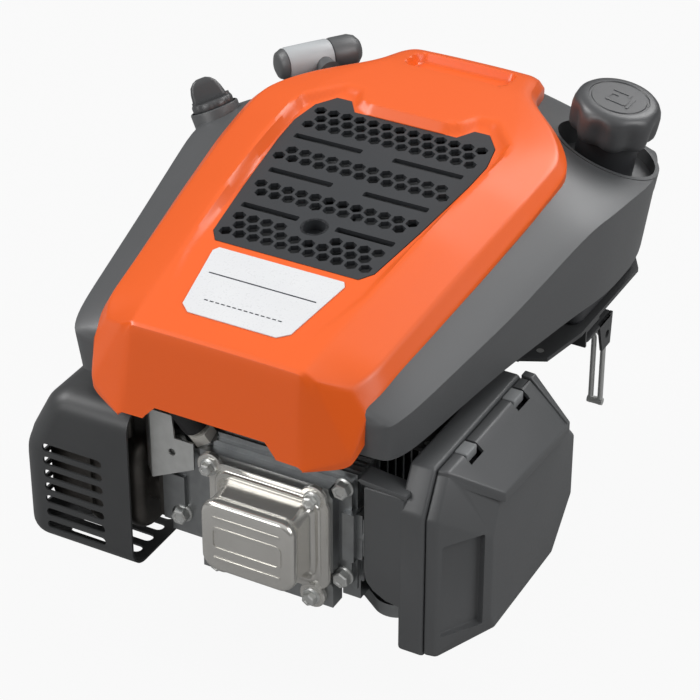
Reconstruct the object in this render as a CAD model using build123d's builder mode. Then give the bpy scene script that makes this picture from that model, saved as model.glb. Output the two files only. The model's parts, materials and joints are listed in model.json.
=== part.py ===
from build123d import *
import os
from math import asin, atan2, cos, degrees, hypot, radians, sin

os.makedirs("parts", exist_ok=True)

# Vertical-shaft overhead-valve engine, millimetres.
# Origin on the crankshaft axis at the underside of the mounting flange, +Z up,
# cylinder head towards -Y, air cleaner on +X, muffler on -X.

# ---- Fits ----------------------------------------------------------------
run_gap = 0.04        # radial clearance of a running shaft
pivot_gap = 0.3       # open pivot between crank webs and crankpin
seat_gap = 0.2        # between mouldings that sit in each other
clear = 0.3           # between faces that move past each other

# ---- Engine proportions --------------------------------------------------
bore = 65.0
stroke = 50.0
throw = stroke / 2
rod_length = 88.0
compression_height = 22.0
cylinder_z = 84.0
crown_y = -(throw + rod_length + compression_height)
deck_y = crown_y - 1.0

# ---- Mounting ------------------------------------------------------------
bolt_circle = 203.2
mount_hole_r = 4.5
ear_count = 3
ear_angle = -50.0
pto_r = 11.11
pto_length = 62.0
pto_bolt_r = 4.0
pto_bolt_depth = 25.0

# ---- Crank train ---------------------------------------------------------
journal_r = 12.5
bearing_r = 26.0
bearing_width = 15.0
web_thickness = 10.0
web_r = 38.0
pin_r = 13.0
pin_length = 18.0
big_end_r = 18.0
rod_thickness = 17.0
wrist_r = 7.0
wrist_length = 50.0
web_inner = pin_length / 2 + pivot_gap
chamber_r = 58.0
case_wall = 7.0
sump_top = 24.0
roof_under = 108.0
roof_top = 118.0
upper_bearing_z = 112.0
lower_bearing_z = 8.0
seal_r = 17.5
seal_width = 6.0

# ---- Timing gears and valve train ---------------------------------------
gear_module = 1.75
crank_teeth = 20
cam_teeth = 40
crank_pitch_r = gear_module * crank_teeth / 2
cam_pitch_r = gear_module * cam_teeth / 2
cam_x = 50.0
cam_y = -((crank_pitch_r + cam_pitch_r) ** 2 - cam_x ** 2) ** 0.5
gear_z = 44.0
gear_width = 10.0
cam_shaft_r = 6.0
cam_chamber_r = 40.0
cam_base_r = 8.0
cam_nose_r = 4.0
cam_lift = 5.0
valve_spread = 14.0
valve_lift_angle = 14.0
valve_x = 4.0
rocker_arm = (cam_x - valve_x) / 2
retainer_r = 7.5
tappet_r = 6.0
tappet_length = 38.0
tappet_face_y = cam_y - cam_base_r - cam_lift - 0.7
tappet_end_y = tappet_face_y - tappet_length
tappet_stop_y = tappet_end_y - rocker_arm * sin(radians(valve_lift_angle)) - 2
pushrod_r = 2.5
stem_r = 3.0
valve_r = 12.5

# ---- Head ----------------------------------------------------------------
head_front_y = -172.0
cover_centre_x = 28.0
cover_face_y = -205.0
cover_flange_w = 83.0
cover_flange_h = 74.0
sheet = 2.0

# ---- Flywheel and fan ----------------------------------------------------
flywheel_r = 88.0
flywheel_z = 138.0
flywheel_t = 12.0
fan_top = 172.0
fan_blades = 16
cup_r = 40.0
nut_z = 166.0

# ---- Recoil starter ------------------------------------------------------
shroud_z = 131.0
shroud_t = 3.0
starter_z = 196.0
starter_top = 228.0
pulley_r = 50.0
pulley_z = 212.0
rope_r = 2.2
handle_x = -109.0
handle_y = 136.0
handle_z = 238.0
handle_length = 64.0
handle_r = 12.0
starter_pull = 0.045

# ---- Covers --------------------------------------------------------------
plastic = 2.6
nose_y = -200.0
brow_y = -190.0
facet_y = -187.0
cheek_y = -176.0
front_y = -163.0
mid_y = -50.0
crown_line_y = 10.0
wide_y = 62.0
hip_y = 93.0
neck_y = 128.0
tail_y = 170.0
top_z = 253.0
grille_slope = 8.6
grille_mid_y = -20.0
grille_mid_z = 240.2
label_slope = 12.2

# ---- Fuel ----------------------------------------------------------------
filler_tilt = 10.0
filler_x = 108.0
filler_y = 137.0
tank_top = 196.0
cap_r = 30.0
cap_grips = 9
neck_r = 21.0
cap_lift = 40.0

# ---- Oil filler ----------------------------------------------------------
filler_foot = Vector(-64.0, 38.0, 62.0)
filler_head = Vector(-147.0, 57.0, 224.0)
tube_r = 9.0
tube_bore = 7.0

# ---- Air cleaner ---------------------------------------------------------
box_inner_x = 114.0
box_joint_x = 131.0
box_outer_x = 166.0
box_front_y = -167.0
box_rear_y = -8.0
box_top_z = 143.0
box_bottom_z = 5.0
carb_y = -152.0

# ---- Muffler -------------------------------------------------------------
guard_left = -155.0
guard_right = -67.0
guard_front = -190.0
guard_rear = -104.0
guard_bottom = 18.0
guard_top = 139.0
guard_t = 1.6
guard_corner_r = 21.0
guard_slope_r = 38.0
guard_brow_r = 22.0
guard_foot_r = 12.0


def across(y):
    """Plane square to the length at y: local x is X, local y is Z."""
    return Plane((0, y, 0), x_dir=(1, 0, 0), z_dir=(0, -1, 0))


def sideways(x):
    """Plane square to the width at x: local x is Y, local y is Z."""
    return Plane((x, 0, 0), x_dir=(0, 1, 0), z_dir=(1, 0, 0))


def polygon(plane, *points):
    """Closed straight-sided face on a plane."""
    with BuildSketch(plane) as face:
        with BuildLine():
            Polyline(*points, close=True)
        make_face()
    return face.sketch


def halves(plane, *points):
    """Face symmetric about local x = 0, given its right half from bottom to top."""
    left = [(-x, z) for x, z in reversed(points)]
    return polygon(plane, *points, *left)


def bar(start, end, radius, mode=Mode.ADD):
    """Round bar between two points."""
    start = Vector(*start)
    end = Vector(*end)
    plane = Plane(start, z_dir=end - start)
    with BuildSketch(plane) as section:
        Circle(radius)
    return extrude(section.sketch, amount=(end - start).length, mode=mode)


def disc(x, y, z0, z1, radius, mode=Mode.ADD):
    """Upright cylinder between two heights."""
    return bar((x, y, z0), (x, y, z1), radius, mode)


def block(x0, x1, y0, y1, z0, z1, mode=Mode.ADD):
    """Box between opposite corners."""
    with Locations(((x0 + x1) / 2, (y0 + y1) / 2, (z0 + z1) / 2)):
        return Box(x1 - x0, y1 - y0, z1 - z0, mode=mode)


def case_outline(margin):
    """Crankcase plan: the crank chamber and cam chamber wrapped together."""
    with BuildSketch() as plan:
        Circle(chamber_r + margin)
        with Locations((cam_x, cam_y)):
            Circle(cam_chamber_r + margin)
        make_hull()
    return plan.sketch


def chamber_outline():
    """Plan of the hollow: crank chamber joined to the cam chamber."""
    with BuildSketch() as plan:
        Circle(chamber_r)
        with Locations((cam_x, cam_y)):
            Circle(cam_chamber_r)
    return plan.sketch


def gear_outline(teeth, pitch_r, centre, turn):
    """Spur gear plan with backlash, first tooth at the angle turn."""
    tip = pitch_r + 0.7 * gear_module
    root = pitch_r - 1.05 * gear_module
    with BuildSketch() as plan:
        with Locations(centre):
            Circle(root)
        with Locations(centre):
            with PolarLocations(0, teeth, turn):
                Polygon((root - 0.6, -1.25), (tip, -0.5), (tip, 0.5), (root - 0.6, 1.25), align=None)
    return plan.sketch


def finish(part, name):
    """Label a finished piece and write its STEP file."""
    part.label = name
    export_step(part, "parts/" + name + ".step")


# ==========================================================================
# Bottom end
# ==========================================================================
ear_places = [
    (bolt_circle / 2 * cos(radians(ear_angle + 360 / ear_count * i)),
     bolt_circle / 2 * sin(radians(ear_angle + 360 / ear_count * i)))
    for i in range(ear_count)
]
flange_screws = [
    ((chamber_r + 11.5) * cos(radians(a)), (chamber_r + 11.5) * sin(radians(a)))
    for a in (50, 85, 120, 155, 190, 225, 258)
]
rim_margin = case_wall + 12
foot_x = 88.0
foot_y = -116.0

# Sump: mounting flange, shallow oil pan and the lower main bearing seat
with BuildPart() as sump_cover:
    with BuildSketch():
        Circle(96)
        with Locations(*ear_places):
            Circle(14)
        make_hull()
    extrude(amount=8)
    with BuildSketch() as foot_plan:
        Circle(60)
        with Locations((foot_x, foot_y)):
            Circle(16)
        make_hull()
    extrude(foot_plan.sketch, amount=10)
    extrude(case_outline(rim_margin), amount=sump_top)
    chamber = chamber_outline()
    extrude(chamber.moved(Location((0, 0, 10))), amount=sump_top - 10, mode=Mode.SUBTRACT)
    disc(0, 0, 4, sump_top, bearing_r + 6)
    disc(cam_x, cam_y, 4, sump_top, cam_shaft_r + 6)
    disc(0, 0, lower_bearing_z, sump_top + 1, bearing_r, Mode.SUBTRACT)
    disc(0, 0, 1.5, lower_bearing_z, seal_r, Mode.SUBTRACT)
    disc(0, 0, -1, 2, journal_r + 1.5, Mode.SUBTRACT)
    disc(cam_x, cam_y, 12, sump_top + 1, cam_shaft_r + run_gap, Mode.SUBTRACT)
    with Locations(*[(x, y, 5) for x, y in ear_places]):
        Cylinder(mount_hole_r, 30, mode=Mode.SUBTRACT)
    with Locations(*[(x, y, 5) for x, y in flange_screws]):
        Cylinder(3.2, 50, mode=Mode.SUBTRACT)
        Cylinder(6, 10, mode=Mode.SUBTRACT)
finish(sump_cover.part, "sump_cover")

with BuildPart() as sump_bolts:
    for x, y in flange_screws:
        disc(x, y, 5, 10, 5.5)
        disc(x, y, 10, sump_top + 5, 3.0)
finish(sump_bolts.part, "sump_bolts")

# Crankcase with finned barrel, pushrod tunnel, roof bearing and feet
fin_pitch = 11.0
fin_t = 2.2
fin_y = [deck_y + 5 + fin_pitch * i for i in range(6)]
post_places = ((-45, 40), (40, 48), (-50, -33), (80, -30))
tunnel_half = valve_spread + 6
with BuildPart() as crankcase:
    outline = case_outline(case_wall)
    extrude(outline.moved(Location((0, 0, sump_top))), amount=roof_top - sump_top)
    flange = case_outline(rim_margin)
    extrude(flange.moved(Location((0, 0, sump_top))), amount=7)
    disc(0, 0, roof_under, upper_bearing_z + bearing_width + 5, bearing_r + 6)
    bar((0, -50, cylinder_z), (0, deck_y, cylinder_z), bore / 2 + 6.5)
    for y in fin_y:
        block(-54, 82, y - fin_t / 2, y + fin_t / 2, 38, 127)
    block(cam_x - 9, cam_x + 9, deck_y, -54, cylinder_z - tunnel_half, cylinder_z + tunnel_half)
    block(-50, 80, deck_y, deck_y + 9, 44, 124)
    block(58, 71, deck_y + 1, -108, 10, 80)
    for x, y in post_places:
        disc(x, y, roof_top - 8, shroud_z, 6)
    boss_dir = (filler_head - filler_foot).normalized()
    bar(filler_foot - boss_dir * 24, filler_foot + boss_dir * 14, 14)
    inner = chamber_outline()
    extrude(inner.moved(Location((0, 0, sump_top - 5))), amount=roof_under - sump_top + 5, mode=Mode.SUBTRACT)
    bar((0, -38, cylinder_z), (0, deck_y - 1, cylinder_z), bore / 2, Mode.SUBTRACT)
    block(cam_x - 4.5, cam_x + 4.5, deck_y - 1, -66, cylinder_z - tunnel_half + 3,
          cylinder_z + tunnel_half - 3, Mode.SUBTRACT)
    for side in (-1, 1):
        tappet_z = cylinder_z + side * valve_spread
        bar((cam_x, -50, tappet_z), (cam_x, tappet_stop_y, tappet_z), tappet_r + run_gap, Mode.SUBTRACT)
    disc(0, 0, roof_under - 1, upper_bearing_z + bearing_width, bearing_r, Mode.SUBTRACT)
    disc(0, 0, upper_bearing_z, upper_bearing_z + bearing_width + 6, seal_r, Mode.SUBTRACT)
    disc(cam_x, cam_y, roof_under - 1, roof_top - 3, cam_shaft_r + run_gap, Mode.SUBTRACT)
    bar(filler_foot - boss_dir * 40, filler_foot + boss_dir * 2, tube_bore + 0.5, Mode.SUBTRACT)
    bar(filler_foot, filler_foot + boss_dir * 20, tube_r + run_gap, Mode.SUBTRACT)
    with Locations(*[(x, y, sump_top) for x, y in flange_screws]):
        Cylinder(3.0 + 0.1, 10.2, mode=Mode.SUBTRACT)
finish(crankcase.part, "crankcase")

with BuildPart() as main_bearings:
    for z in (lower_bearing_z, upper_bearing_z):
        disc(0, 0, z, z + bearing_width, bearing_r)
        disc(0, 0, z, z + bearing_width, journal_r + run_gap, Mode.SUBTRACT)
finish(main_bearings.part, "main_bearings")

with BuildPart() as oil_seals:
    for z in (1.5, upper_bearing_z + bearing_width):
        disc(0, 0, z, z + seal_width, seal_r)
        disc(0, 0, z, z + seal_width, journal_r + run_gap, Mode.SUBTRACT)
finish(oil_seals.part, "oil_seals")


# ==========================================================================
# Crank train, at top dead centre with the crankpin towards the head
# ==========================================================================
def web(z):
    """Crank web with its counterweight opposite the crankpin."""
    with BuildSketch(Plane.XY.offset(z)) as plan:
        with BuildSketch(Plane.XY.offset(z), mode=Mode.PRIVATE) as cheek:
            Circle(18)
            with Locations((0, -throw)):
                Circle(12)
            make_hull()
        add(cheek.sketch)
        with BuildSketch(Plane.XY.offset(z), mode=Mode.PRIVATE) as weight:
            Circle(web_r)
            with Locations((0, -web_r + 2)):
                Rectangle(4 * web_r, 2 * web_r, mode=Mode.SUBTRACT)
        add(weight.sketch)
    extrude(plan.sketch, amount=web_thickness)


lower_web_z = cylinder_z - web_inner - web_thickness
upper_web_z = cylinder_z + web_inner
taper_z = upper_bearing_z + bearing_width + seal_width + 2
mesh_angle = degrees(atan2(cam_y, cam_x))
with BuildPart() as crankshaft_lower:
    pinion = gear_outline(crank_teeth, crank_pitch_r, (0, 0), mesh_angle)
    extrude(pinion.moved(Location((0, 0, gear_z))), amount=gear_width)
    web(lower_web_z)
    disc(0, 0, 0, lower_web_z, journal_r)
    disc(0, 0, -pto_length, 0, pto_r)
    disc(0, 0, -pto_length, -pto_length + pto_bolt_depth, pto_bolt_r, Mode.SUBTRACT)
    block(-2.4, 2.4, pto_r - 2.6, pto_r + 2, -pto_length - 1, -22, Mode.SUBTRACT)
finish(crankshaft_lower.part, "crankshaft_lower")

with BuildPart() as crankshaft_upper:
    web(upper_web_z)
    disc(0, 0, upper_web_z + web_thickness, taper_z, journal_r)
    with BuildSketch(Plane.XY.offset(taper_z)):
        Circle(journal_r)
    with BuildSketch(Plane.XY.offset(nut_z - 4)):
        Circle(journal_r - 2.5)
    loft()
    disc(0, 0, nut_z - 4, nut_z + 16, 7.9)
finish(crankshaft_upper.part, "crankshaft_upper")

with BuildPart() as crank_pin:
    disc(0, -throw, cylinder_z - pin_length / 2, cylinder_z + pin_length / 2, pin_r)
finish(crank_pin.part, "crank_pin")

wrist_y = -(throw + rod_length)
with BuildPart() as connecting_rod:
    low = cylinder_z - rod_thickness / 2
    high = cylinder_z + rod_thickness / 2
    disc(0, -throw, low, high, big_end_r)
    disc(0, wrist_y, cylinder_z - 8, cylinder_z + 8, wrist_r + 4)
    block(-7, 7, wrist_y + 8, -throw - 14, cylinder_z - 4, cylinder_z + 4)
    block(-3.5, 3.5, wrist_y + 8, -throw - 14, cylinder_z - 7, cylinder_z + 7)
    disc(0, -throw, low - 1, high + 1, pin_r + run_gap, Mode.SUBTRACT)
    disc(0, wrist_y, low - 1, high + 1, wrist_r + run_gap, Mode.SUBTRACT)
finish(connecting_rod.part, "connecting_rod")

piston_r = bore / 2 - run_gap
skirt_y = wrist_y + 22
ring_y = [crown_y + 5 + 4.5 * i for i in range(3)]
with BuildPart() as piston:
    bar((0, crown_y, cylinder_z), (0, skirt_y, cylinder_z), piston_r)
    bar((0, crown_y + 8, cylinder_z), (0, skirt_y + 1, cylinder_z), bore / 2 - 5, Mode.SUBTRACT)
    for side in (-1, 1):
        z_in = cylinder_z + side * 9
        z_out = cylinder_z + side * (bore / 2 - 3)
        disc(0, wrist_y, min(z_in, z_out), max(z_in, z_out), wrist_r + 4)
    disc(0, wrist_y, cylinder_z - wrist_length / 2, cylinder_z + wrist_length / 2, wrist_r, Mode.SUBTRACT)
    for y in ring_y:
        with BuildSketch(across(y)) as groove:
            with Locations((0, cylinder_z)):
                Circle(bore / 2 + 1)
                Circle(bore / 2 - 3, mode=Mode.SUBTRACT)
        extrude(groove.sketch, amount=-2, mode=Mode.SUBTRACT)
finish(piston.part, "piston")

with BuildPart() as piston_rings:
    for y in ring_y:
        with BuildSketch(across(y + 0.1)) as ring:
            with Locations((0, cylinder_z)):
                Circle(bore / 2 - 0.02)
                Circle(bore / 2 - 2.9, mode=Mode.SUBTRACT)
        extrude(ring.sketch, amount=-1.8)
finish(piston_rings.part, "piston_rings")

with BuildPart() as wrist_pin:
    disc(0, wrist_y, cylinder_z - wrist_length / 2, cylinder_z + wrist_length / 2, wrist_r)
    disc(0, wrist_y, cylinder_z - 30, cylinder_z + 30, 3.5, Mode.SUBTRACT)
finish(wrist_pin.part, "wrist_pin")

# ==========================================================================
# Camshaft and valve train
# ==========================================================================
lobe_turns = (110.0, 200.0)
with BuildPart() as camshaft:
    wheel = gear_outline(cam_teeth, cam_pitch_r, (cam_x, cam_y), mesh_angle + 180 + 180 / cam_teeth)
    extrude(wheel.moved(Location((0, 0, gear_z))), amount=gear_width)
    for i in range(5):
        hole_x = cam_x + 21 * cos(radians(72 * i))
        hole_y = cam_y + 21 * sin(radians(72 * i))
        disc(hole_x, hole_y, gear_z - 1, gear_z + gear_width + 1, 6, Mode.SUBTRACT)
    disc(cam_x, cam_y, 12.5, roof_top - 3.5, cam_shaft_r)
    for side, turn in zip((-1, 1), lobe_turns):
        lobe_z = cylinder_z + side * valve_spread - 4
        with BuildSketch(Plane.XY.offset(lobe_z)) as lobe:
            with Locations((cam_x, cam_y)):
                Circle(cam_base_r)
            reach = cam_base_r + cam_lift - cam_nose_r
            with Locations((cam_x + reach * cos(radians(turn)), cam_y + reach * sin(radians(turn)))):
                Circle(cam_nose_r)
            make_hull()
        extrude(lobe.sketch, amount=8)
finish(camshaft.part, "camshaft")

chamber_depth = 9.5
chamber_floor = deck_y - chamber_depth
spring_seat_y = -168.0
stem_end_y = -186.0
rocker_pivot_x = cam_x - rocker_arm
rocker_y = stem_end_y - clear - 4
retainer_y = -182.0


def valve(z):
    """Poppet valve: head in the chamber, stem towards the rocker, spring retainer."""
    bar((valve_x, chamber_floor + clear, z), (valve_x, chamber_floor + 2.6, z), valve_r)
    bar((valve_x, chamber_floor + 2, z), (valve_x, stem_end_y, z), stem_r)
    bar((valve_x, retainer_y - 2, z), (valve_x, retainer_y, z), retainer_r)


def pushrod(z):
    """Tappet in its guide and the thin rod up to the rocker."""
    bar((cam_x, tappet_face_y, z), (cam_x, tappet_face_y - 3, z), 8)
    bar((cam_x, tappet_face_y - 2, z), (cam_x, tappet_end_y, z), tappet_r)
    bar((cam_x, tappet_end_y + 1, z), (cam_x, stem_end_y, z), pushrod_r)


def rocker(z):
    """Rocker arm pivoting half way between valve and pushrod."""
    y = rocker_y
    bar((rocker_pivot_x, y, z - 4), (rocker_pivot_x, y, z + 4), 8)
    block(valve_x, cam_x, y - 3, y + 2, z - 3.5, z + 3.5)
    bar((valve_x, y, z - 3.5), (valve_x, y, z + 3.5), 4)
    bar((cam_x, y, z - 3.5), (cam_x, y, z + 3.5), 4)
    bar((rocker_pivot_x, y, z - 6), (rocker_pivot_x, y, z + 6), 4.5 + run_gap, Mode.SUBTRACT)


def spring(z):
    """Round-wire valve spring around the stem."""
    wire_r = 1.1
    free = spring_seat_y - retainer_y - 2 * wire_r - 2 * clear
    coil = Helix(pitch=free / 4, height=free, radius=retainer_r - 1.7,
                 center=(valve_x, spring_seat_y - wire_r - clear, z), direction=(0, -1, 0))
    with BuildSketch(Plane(coil @ 0, z_dir=coil % 0)) as wire:
        Circle(wire_r)
    sweep(wire.sketch, path=coil, is_frenet=True)


intake_z = cylinder_z + valve_spread
exhaust_z = cylinder_z - valve_spread
with BuildPart() as intake_valve:
    valve(intake_z)
finish(intake_valve.part, "intake_valve")
with BuildPart() as exhaust_valve:
    valve(exhaust_z)
finish(exhaust_valve.part, "exhaust_valve")
with BuildPart() as intake_pushrod:
    pushrod(intake_z)
finish(intake_pushrod.part, "intake_pushrod")
with BuildPart() as exhaust_pushrod:
    pushrod(exhaust_z)
finish(exhaust_pushrod.part, "exhaust_pushrod")
with BuildPart() as intake_rocker:
    rocker(intake_z)
finish(intake_rocker.part, "intake_rocker")
with BuildPart() as exhaust_rocker:
    rocker(exhaust_z)
finish(exhaust_rocker.part, "exhaust_rocker")
with BuildPart() as intake_spring:
    spring(intake_z)
finish(intake_spring.part, "intake_spring")
with BuildPart() as exhaust_spring:
    spring(exhaust_z)
finish(exhaust_spring.part, "exhaust_spring")

# ==========================================================================
# Cylinder head, rocker box and covers
# ==========================================================================
head_back_y = deck_y
port_y = -155.0
port_r = 7.5
head_bolt_places = ((-43, 58), (-43, 112), (75, 50), (75, 118))
lug_levels = ((62.5, 65.5), (cylinder_z - 3, cylinder_z + 3), (102.5, 105.2))
port_face_x = 84.0
lobe_places = ((-15, 111), (59, 111), (58, 36), (-9, 39))
with BuildPart() as cylinder_head:
    block(-49, 80, head_front_y + 8, head_back_y, 45, 123)
    block(-20, 71, head_front_y, head_back_y, 47, 119)
    block(-24, 71, head_front_y, head_front_y + 12, 28, 119)
    for i in range(3):
        y = head_back_y - 4 - 9 * i
        block(-54, 82, y - fin_t, y, 39, 127)
    block(-56, -40, port_y - 12, port_y + 14, exhaust_z - 18, exhaust_z + 18)
    block(76, port_face_x, port_y - 14, port_y + 14, 66, 102)
    bar((0, head_back_y + 1, cylinder_z), (0, chamber_floor, cylinder_z), bore / 2 - 2.5, Mode.SUBTRACT)
    bar((valve_x, chamber_floor + 1, intake_z), (valve_x, port_y, intake_z), 9, Mode.SUBTRACT)
    bar((valve_x, chamber_floor + 1, exhaust_z), (valve_x, port_y, exhaust_z), 9, Mode.SUBTRACT)
    bar((valve_x, port_y, intake_z), (valve_x, port_y, cylinder_z), 6.5, Mode.SUBTRACT)
    bar((valve_x, port_y, cylinder_z), (90, port_y, cylinder_z), port_r, Mode.SUBTRACT)
    bar((valve_x, port_y, exhaust_z), (-60, port_y, exhaust_z), port_r + 1, Mode.SUBTRACT)
    block(-6, 62, head_front_y - 1, spring_seat_y, 58, 108, Mode.SUBTRACT)
    for z in (intake_z, exhaust_z):
        bar((valve_x, port_y, z), (valve_x, head_front_y, z), stem_r + run_gap, Mode.SUBTRACT)
        bar((cam_x, head_back_y + 1, z), (cam_x, spring_seat_y - 5, z), pushrod_r + 1.5, Mode.SUBTRACT)
    for z0, z1 in lug_levels:
        block(rocker_pivot_x - 6, rocker_pivot_x + 6, rocker_y - 6, spring_seat_y, z0, z1)
    bar((rocker_pivot_x, rocker_y, 61), (rocker_pivot_x, rocker_y, 107), 4.5, Mode.SUBTRACT)
    plug_axis = Vector(-0.29, -0.37, 0.88).normalized()
    plug_mouth = Vector(-28, -160, 120)
    bar(plug_mouth - plug_axis * 16, plug_mouth, 10)
    bar(plug_mouth - plug_axis * 40, plug_mouth + plug_axis, 6, Mode.SUBTRACT)
    bar(plug_mouth, plug_mouth + plug_axis * 30, 12, Mode.SUBTRACT)
    for x, z in head_bolt_places:
        bar((x, head_front_y - 1, z), (x, head_back_y + 1, z), 4.3, Mode.SUBTRACT)
        bar((x, head_front_y + 8, z), (x, head_front_y - 1, z), 7, Mode.SUBTRACT)
    for x, z in lobe_places:
        bar((x, head_front_y - 1, z), (x, head_front_y + 10, z), 3.0, Mode.SUBTRACT)
finish(cylinder_head.part, "cylinder_head")

with BuildPart() as head_bolts:
    for x, z in head_bolt_places:
        bar((x, head_front_y + 8 - 4, z), (x, head_front_y + 8, z), 6.5)
        bar((x, head_front_y + 8, z), (x, head_back_y, z), 4)
finish(head_bolts.part, "head_bolts")

with BuildPart() as rocker_shaft:
    bar((rocker_pivot_x, rocker_y, lug_levels[0][0]), (rocker_pivot_x, rocker_y, lug_levels[2][1]), 4.5)
finish(rocker_shaft.part, "rocker_shaft")

with BuildPart() as spark_plug:
    bar(plug_mouth - plug_axis * 38, plug_mouth, 5.9)
    with BuildSketch(Plane(plug_mouth, z_dir=plug_axis)) as hexagon:
        RegularPolygon(9, 6)
    extrude(hexagon.sketch, amount=8)
    bar(plug_mouth + plug_axis * 7, plug_mouth + plug_axis * 34, 5)
finish(spark_plug.part, "spark_plug")

with BuildPart() as plug_boot:
    boot_start = plug_mouth + plug_axis * 12
    boot_end = plug_mouth + plug_axis * 38
    bar(boot_start, boot_end, 9)
    bar(boot_end - plug_axis * 5, boot_end - plug_axis * 5 + Vector(26, 8, 0), 6)
    bar(boot_start - plug_axis, boot_end - plug_axis * 3.5, 5.1, Mode.SUBTRACT)
finish(plug_boot.part, "plug_boot")

# Valve cover: deep-drawn sheet with a screwed flange
face_w = 62.0
face_h = 46.0
root_w = 74.0
root_h = 58.0
cover_z = cylinder_z
rim_z = 77.0


def cover_shell(y_root, y_face, shrink):
    """Tapered box of the valve cover, drawn in from root to face."""
    with BuildSketch(across(y_root)) as root:
        with Locations((cover_centre_x, cover_z)):
            RectangleRounded(root_w - 2 * shrink, root_h - 2 * shrink, 10 - shrink)
    with BuildSketch(across(y_face)) as face:
        with Locations((cover_centre_x, cover_z)):
            RectangleRounded(face_w - 2 * shrink, face_h - 2 * shrink, 10 - shrink)
    return root.sketch, face.sketch


with BuildPart() as valve_cover:
    loft(sections=[*cover_shell(head_front_y - 4, cover_face_y, 0)])
    fillet(faces().sort_by(Axis.Y)[0].edges(), 3.5)
    with BuildSketch(across(head_front_y - 4)) as rim:
        with Locations((cover_centre_x, rim_z)):
            RectangleRounded(cover_flange_w, cover_flange_h, 12)
    extrude(rim.sketch, amount=-4)
    for x, z in lobe_places:
        bar((x, head_front_y - 4, z), (x, head_front_y, z), 8)
    loft(sections=[*cover_shell(head_front_y, cover_face_y + sheet, sheet)], mode=Mode.SUBTRACT)
    for x, z in lobe_places:
        bar((x, head_front_y + 1, z), (x, head_front_y - 6, z), 3.2, Mode.SUBTRACT)
        bar((x, head_front_y - 4, z), (x, head_front_y - 30, z), 4.6, Mode.SUBTRACT)
    for dz in (-12, 12):
        bar((cover_centre_x - 22, cover_face_y, cover_z + dz),
            (cover_centre_x + 22, cover_face_y, cover_z + dz), 1.2)
finish(valve_cover.part, "valve_cover")

with BuildPart() as valve_cover_bolts:
    for x, z in lobe_places:
        bar((x, head_front_y - 4, z), (x, head_front_y - 9, z), 4.4)
        bar((x, head_front_y - 4, z), (x, head_front_y + 10, z), 2.9)
finish(valve_cover_bolts.part, "valve_cover_bolts")

# ==========================================================================
# Flywheel, fan and recoil starter
# ==========================================================================
with BuildPart() as flywheel:
    disc(0, 0, flywheel_z, flywheel_z + flywheel_t, flywheel_r)
    disc(0, 0, flywheel_z + 3, flywheel_z + flywheel_t + 1, flywheel_r - 10, Mode.SUBTRACT)
    disc(0, 0, flywheel_z - 1, nut_z - 4, 22)
    disc(0, 0, flywheel_z, flywheel_z + 5, 40)
    with BuildSketch(Plane.XY.offset(flywheel_z)):
        with PolarLocations(0, 5, 36):
            with Locations((50, 0)):
                Rectangle(64, 9)
    extrude(amount=4)
    taper_high = nut_z - 4
    taper_slope = 2.5 / (taper_high - taper_z)
    with BuildSketch(Plane.XY.offset(taper_z)) as wide_end:
        Circle(journal_r + 0.02)
    with BuildSketch(Plane.XY.offset(taper_high)) as narrow_end:
        Circle(journal_r - 2.5 + 0.02)
    loft(sections=[wide_end.sketch, narrow_end.sketch], mode=Mode.SUBTRACT)
    disc(0, 0, taper_high - 0.01, nut_z, 10.1, Mode.SUBTRACT)
    with PolarLocations(0, 5):
        with Locations((58, 0, flywheel_z)):
            Cylinder(9, 20, mode=Mode.SUBTRACT)
finish(flywheel.part, "flywheel")

with BuildPart() as fan:
    base_z = flywheel_z + flywheel_t
    with BuildSketch(Plane.XY.offset(base_z)):
        Circle(flywheel_r)
        Circle(48, mode=Mode.SUBTRACT)
    extrude(amount=3)
    with BuildSketch(Plane.XY.offset(base_z + 2)):
        with PolarLocations(0, fan_blades):
            with Locations(Location((70, 0, 0), 28)):
                Rectangle(36, 2.4)
    extrude(amount=fan_top - base_z - 2)
finish(fan.part, "fan")

with BuildPart() as starter_cup:
    disc(0, 0, nut_z - 4, nut_z - 2, cup_r)
    disc(0, 0, nut_z - 4, nut_z + 24, cup_r)
    disc(0, 0, nut_z - 2, nut_z + 25, cup_r - 2, Mode.SUBTRACT)
    disc(0, 0, nut_z - 5, nut_z, 8.1, Mode.SUBTRACT)
    with PolarLocations(0, 6):
        with Locations((cup_r, 0, nut_z + 12)):
            Box(10, 12, 10, mode=Mode.SUBTRACT)
finish(starter_cup.part, "starter_cup")

with BuildPart() as flywheel_nut:
    with BuildSketch(Plane.XY.offset(nut_z - 2)):
        RegularPolygon(13, 6)
        Circle(7.9, mode=Mode.SUBTRACT)
    extrude(amount=11)
finish(flywheel_nut.part, "flywheel_nut")

# Ignition coil beside the flywheel rim, on the barrel side
coil_y = -(flywheel_r + 1.2)
with BuildPart() as ignition_coil:
    block(-26, -16, coil_y - 24, coil_y, 140, 152)
    block(16, 26, coil_y - 24, coil_y, 140, 152)
    block(-26, 26, coil_y - 32, coil_y - 20, 140, 152)
    block(-14, 14, coil_y - 30, coil_y - 6, shroud_z + shroud_t, 162)
finish(ignition_coil.part, "ignition_coil")

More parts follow.
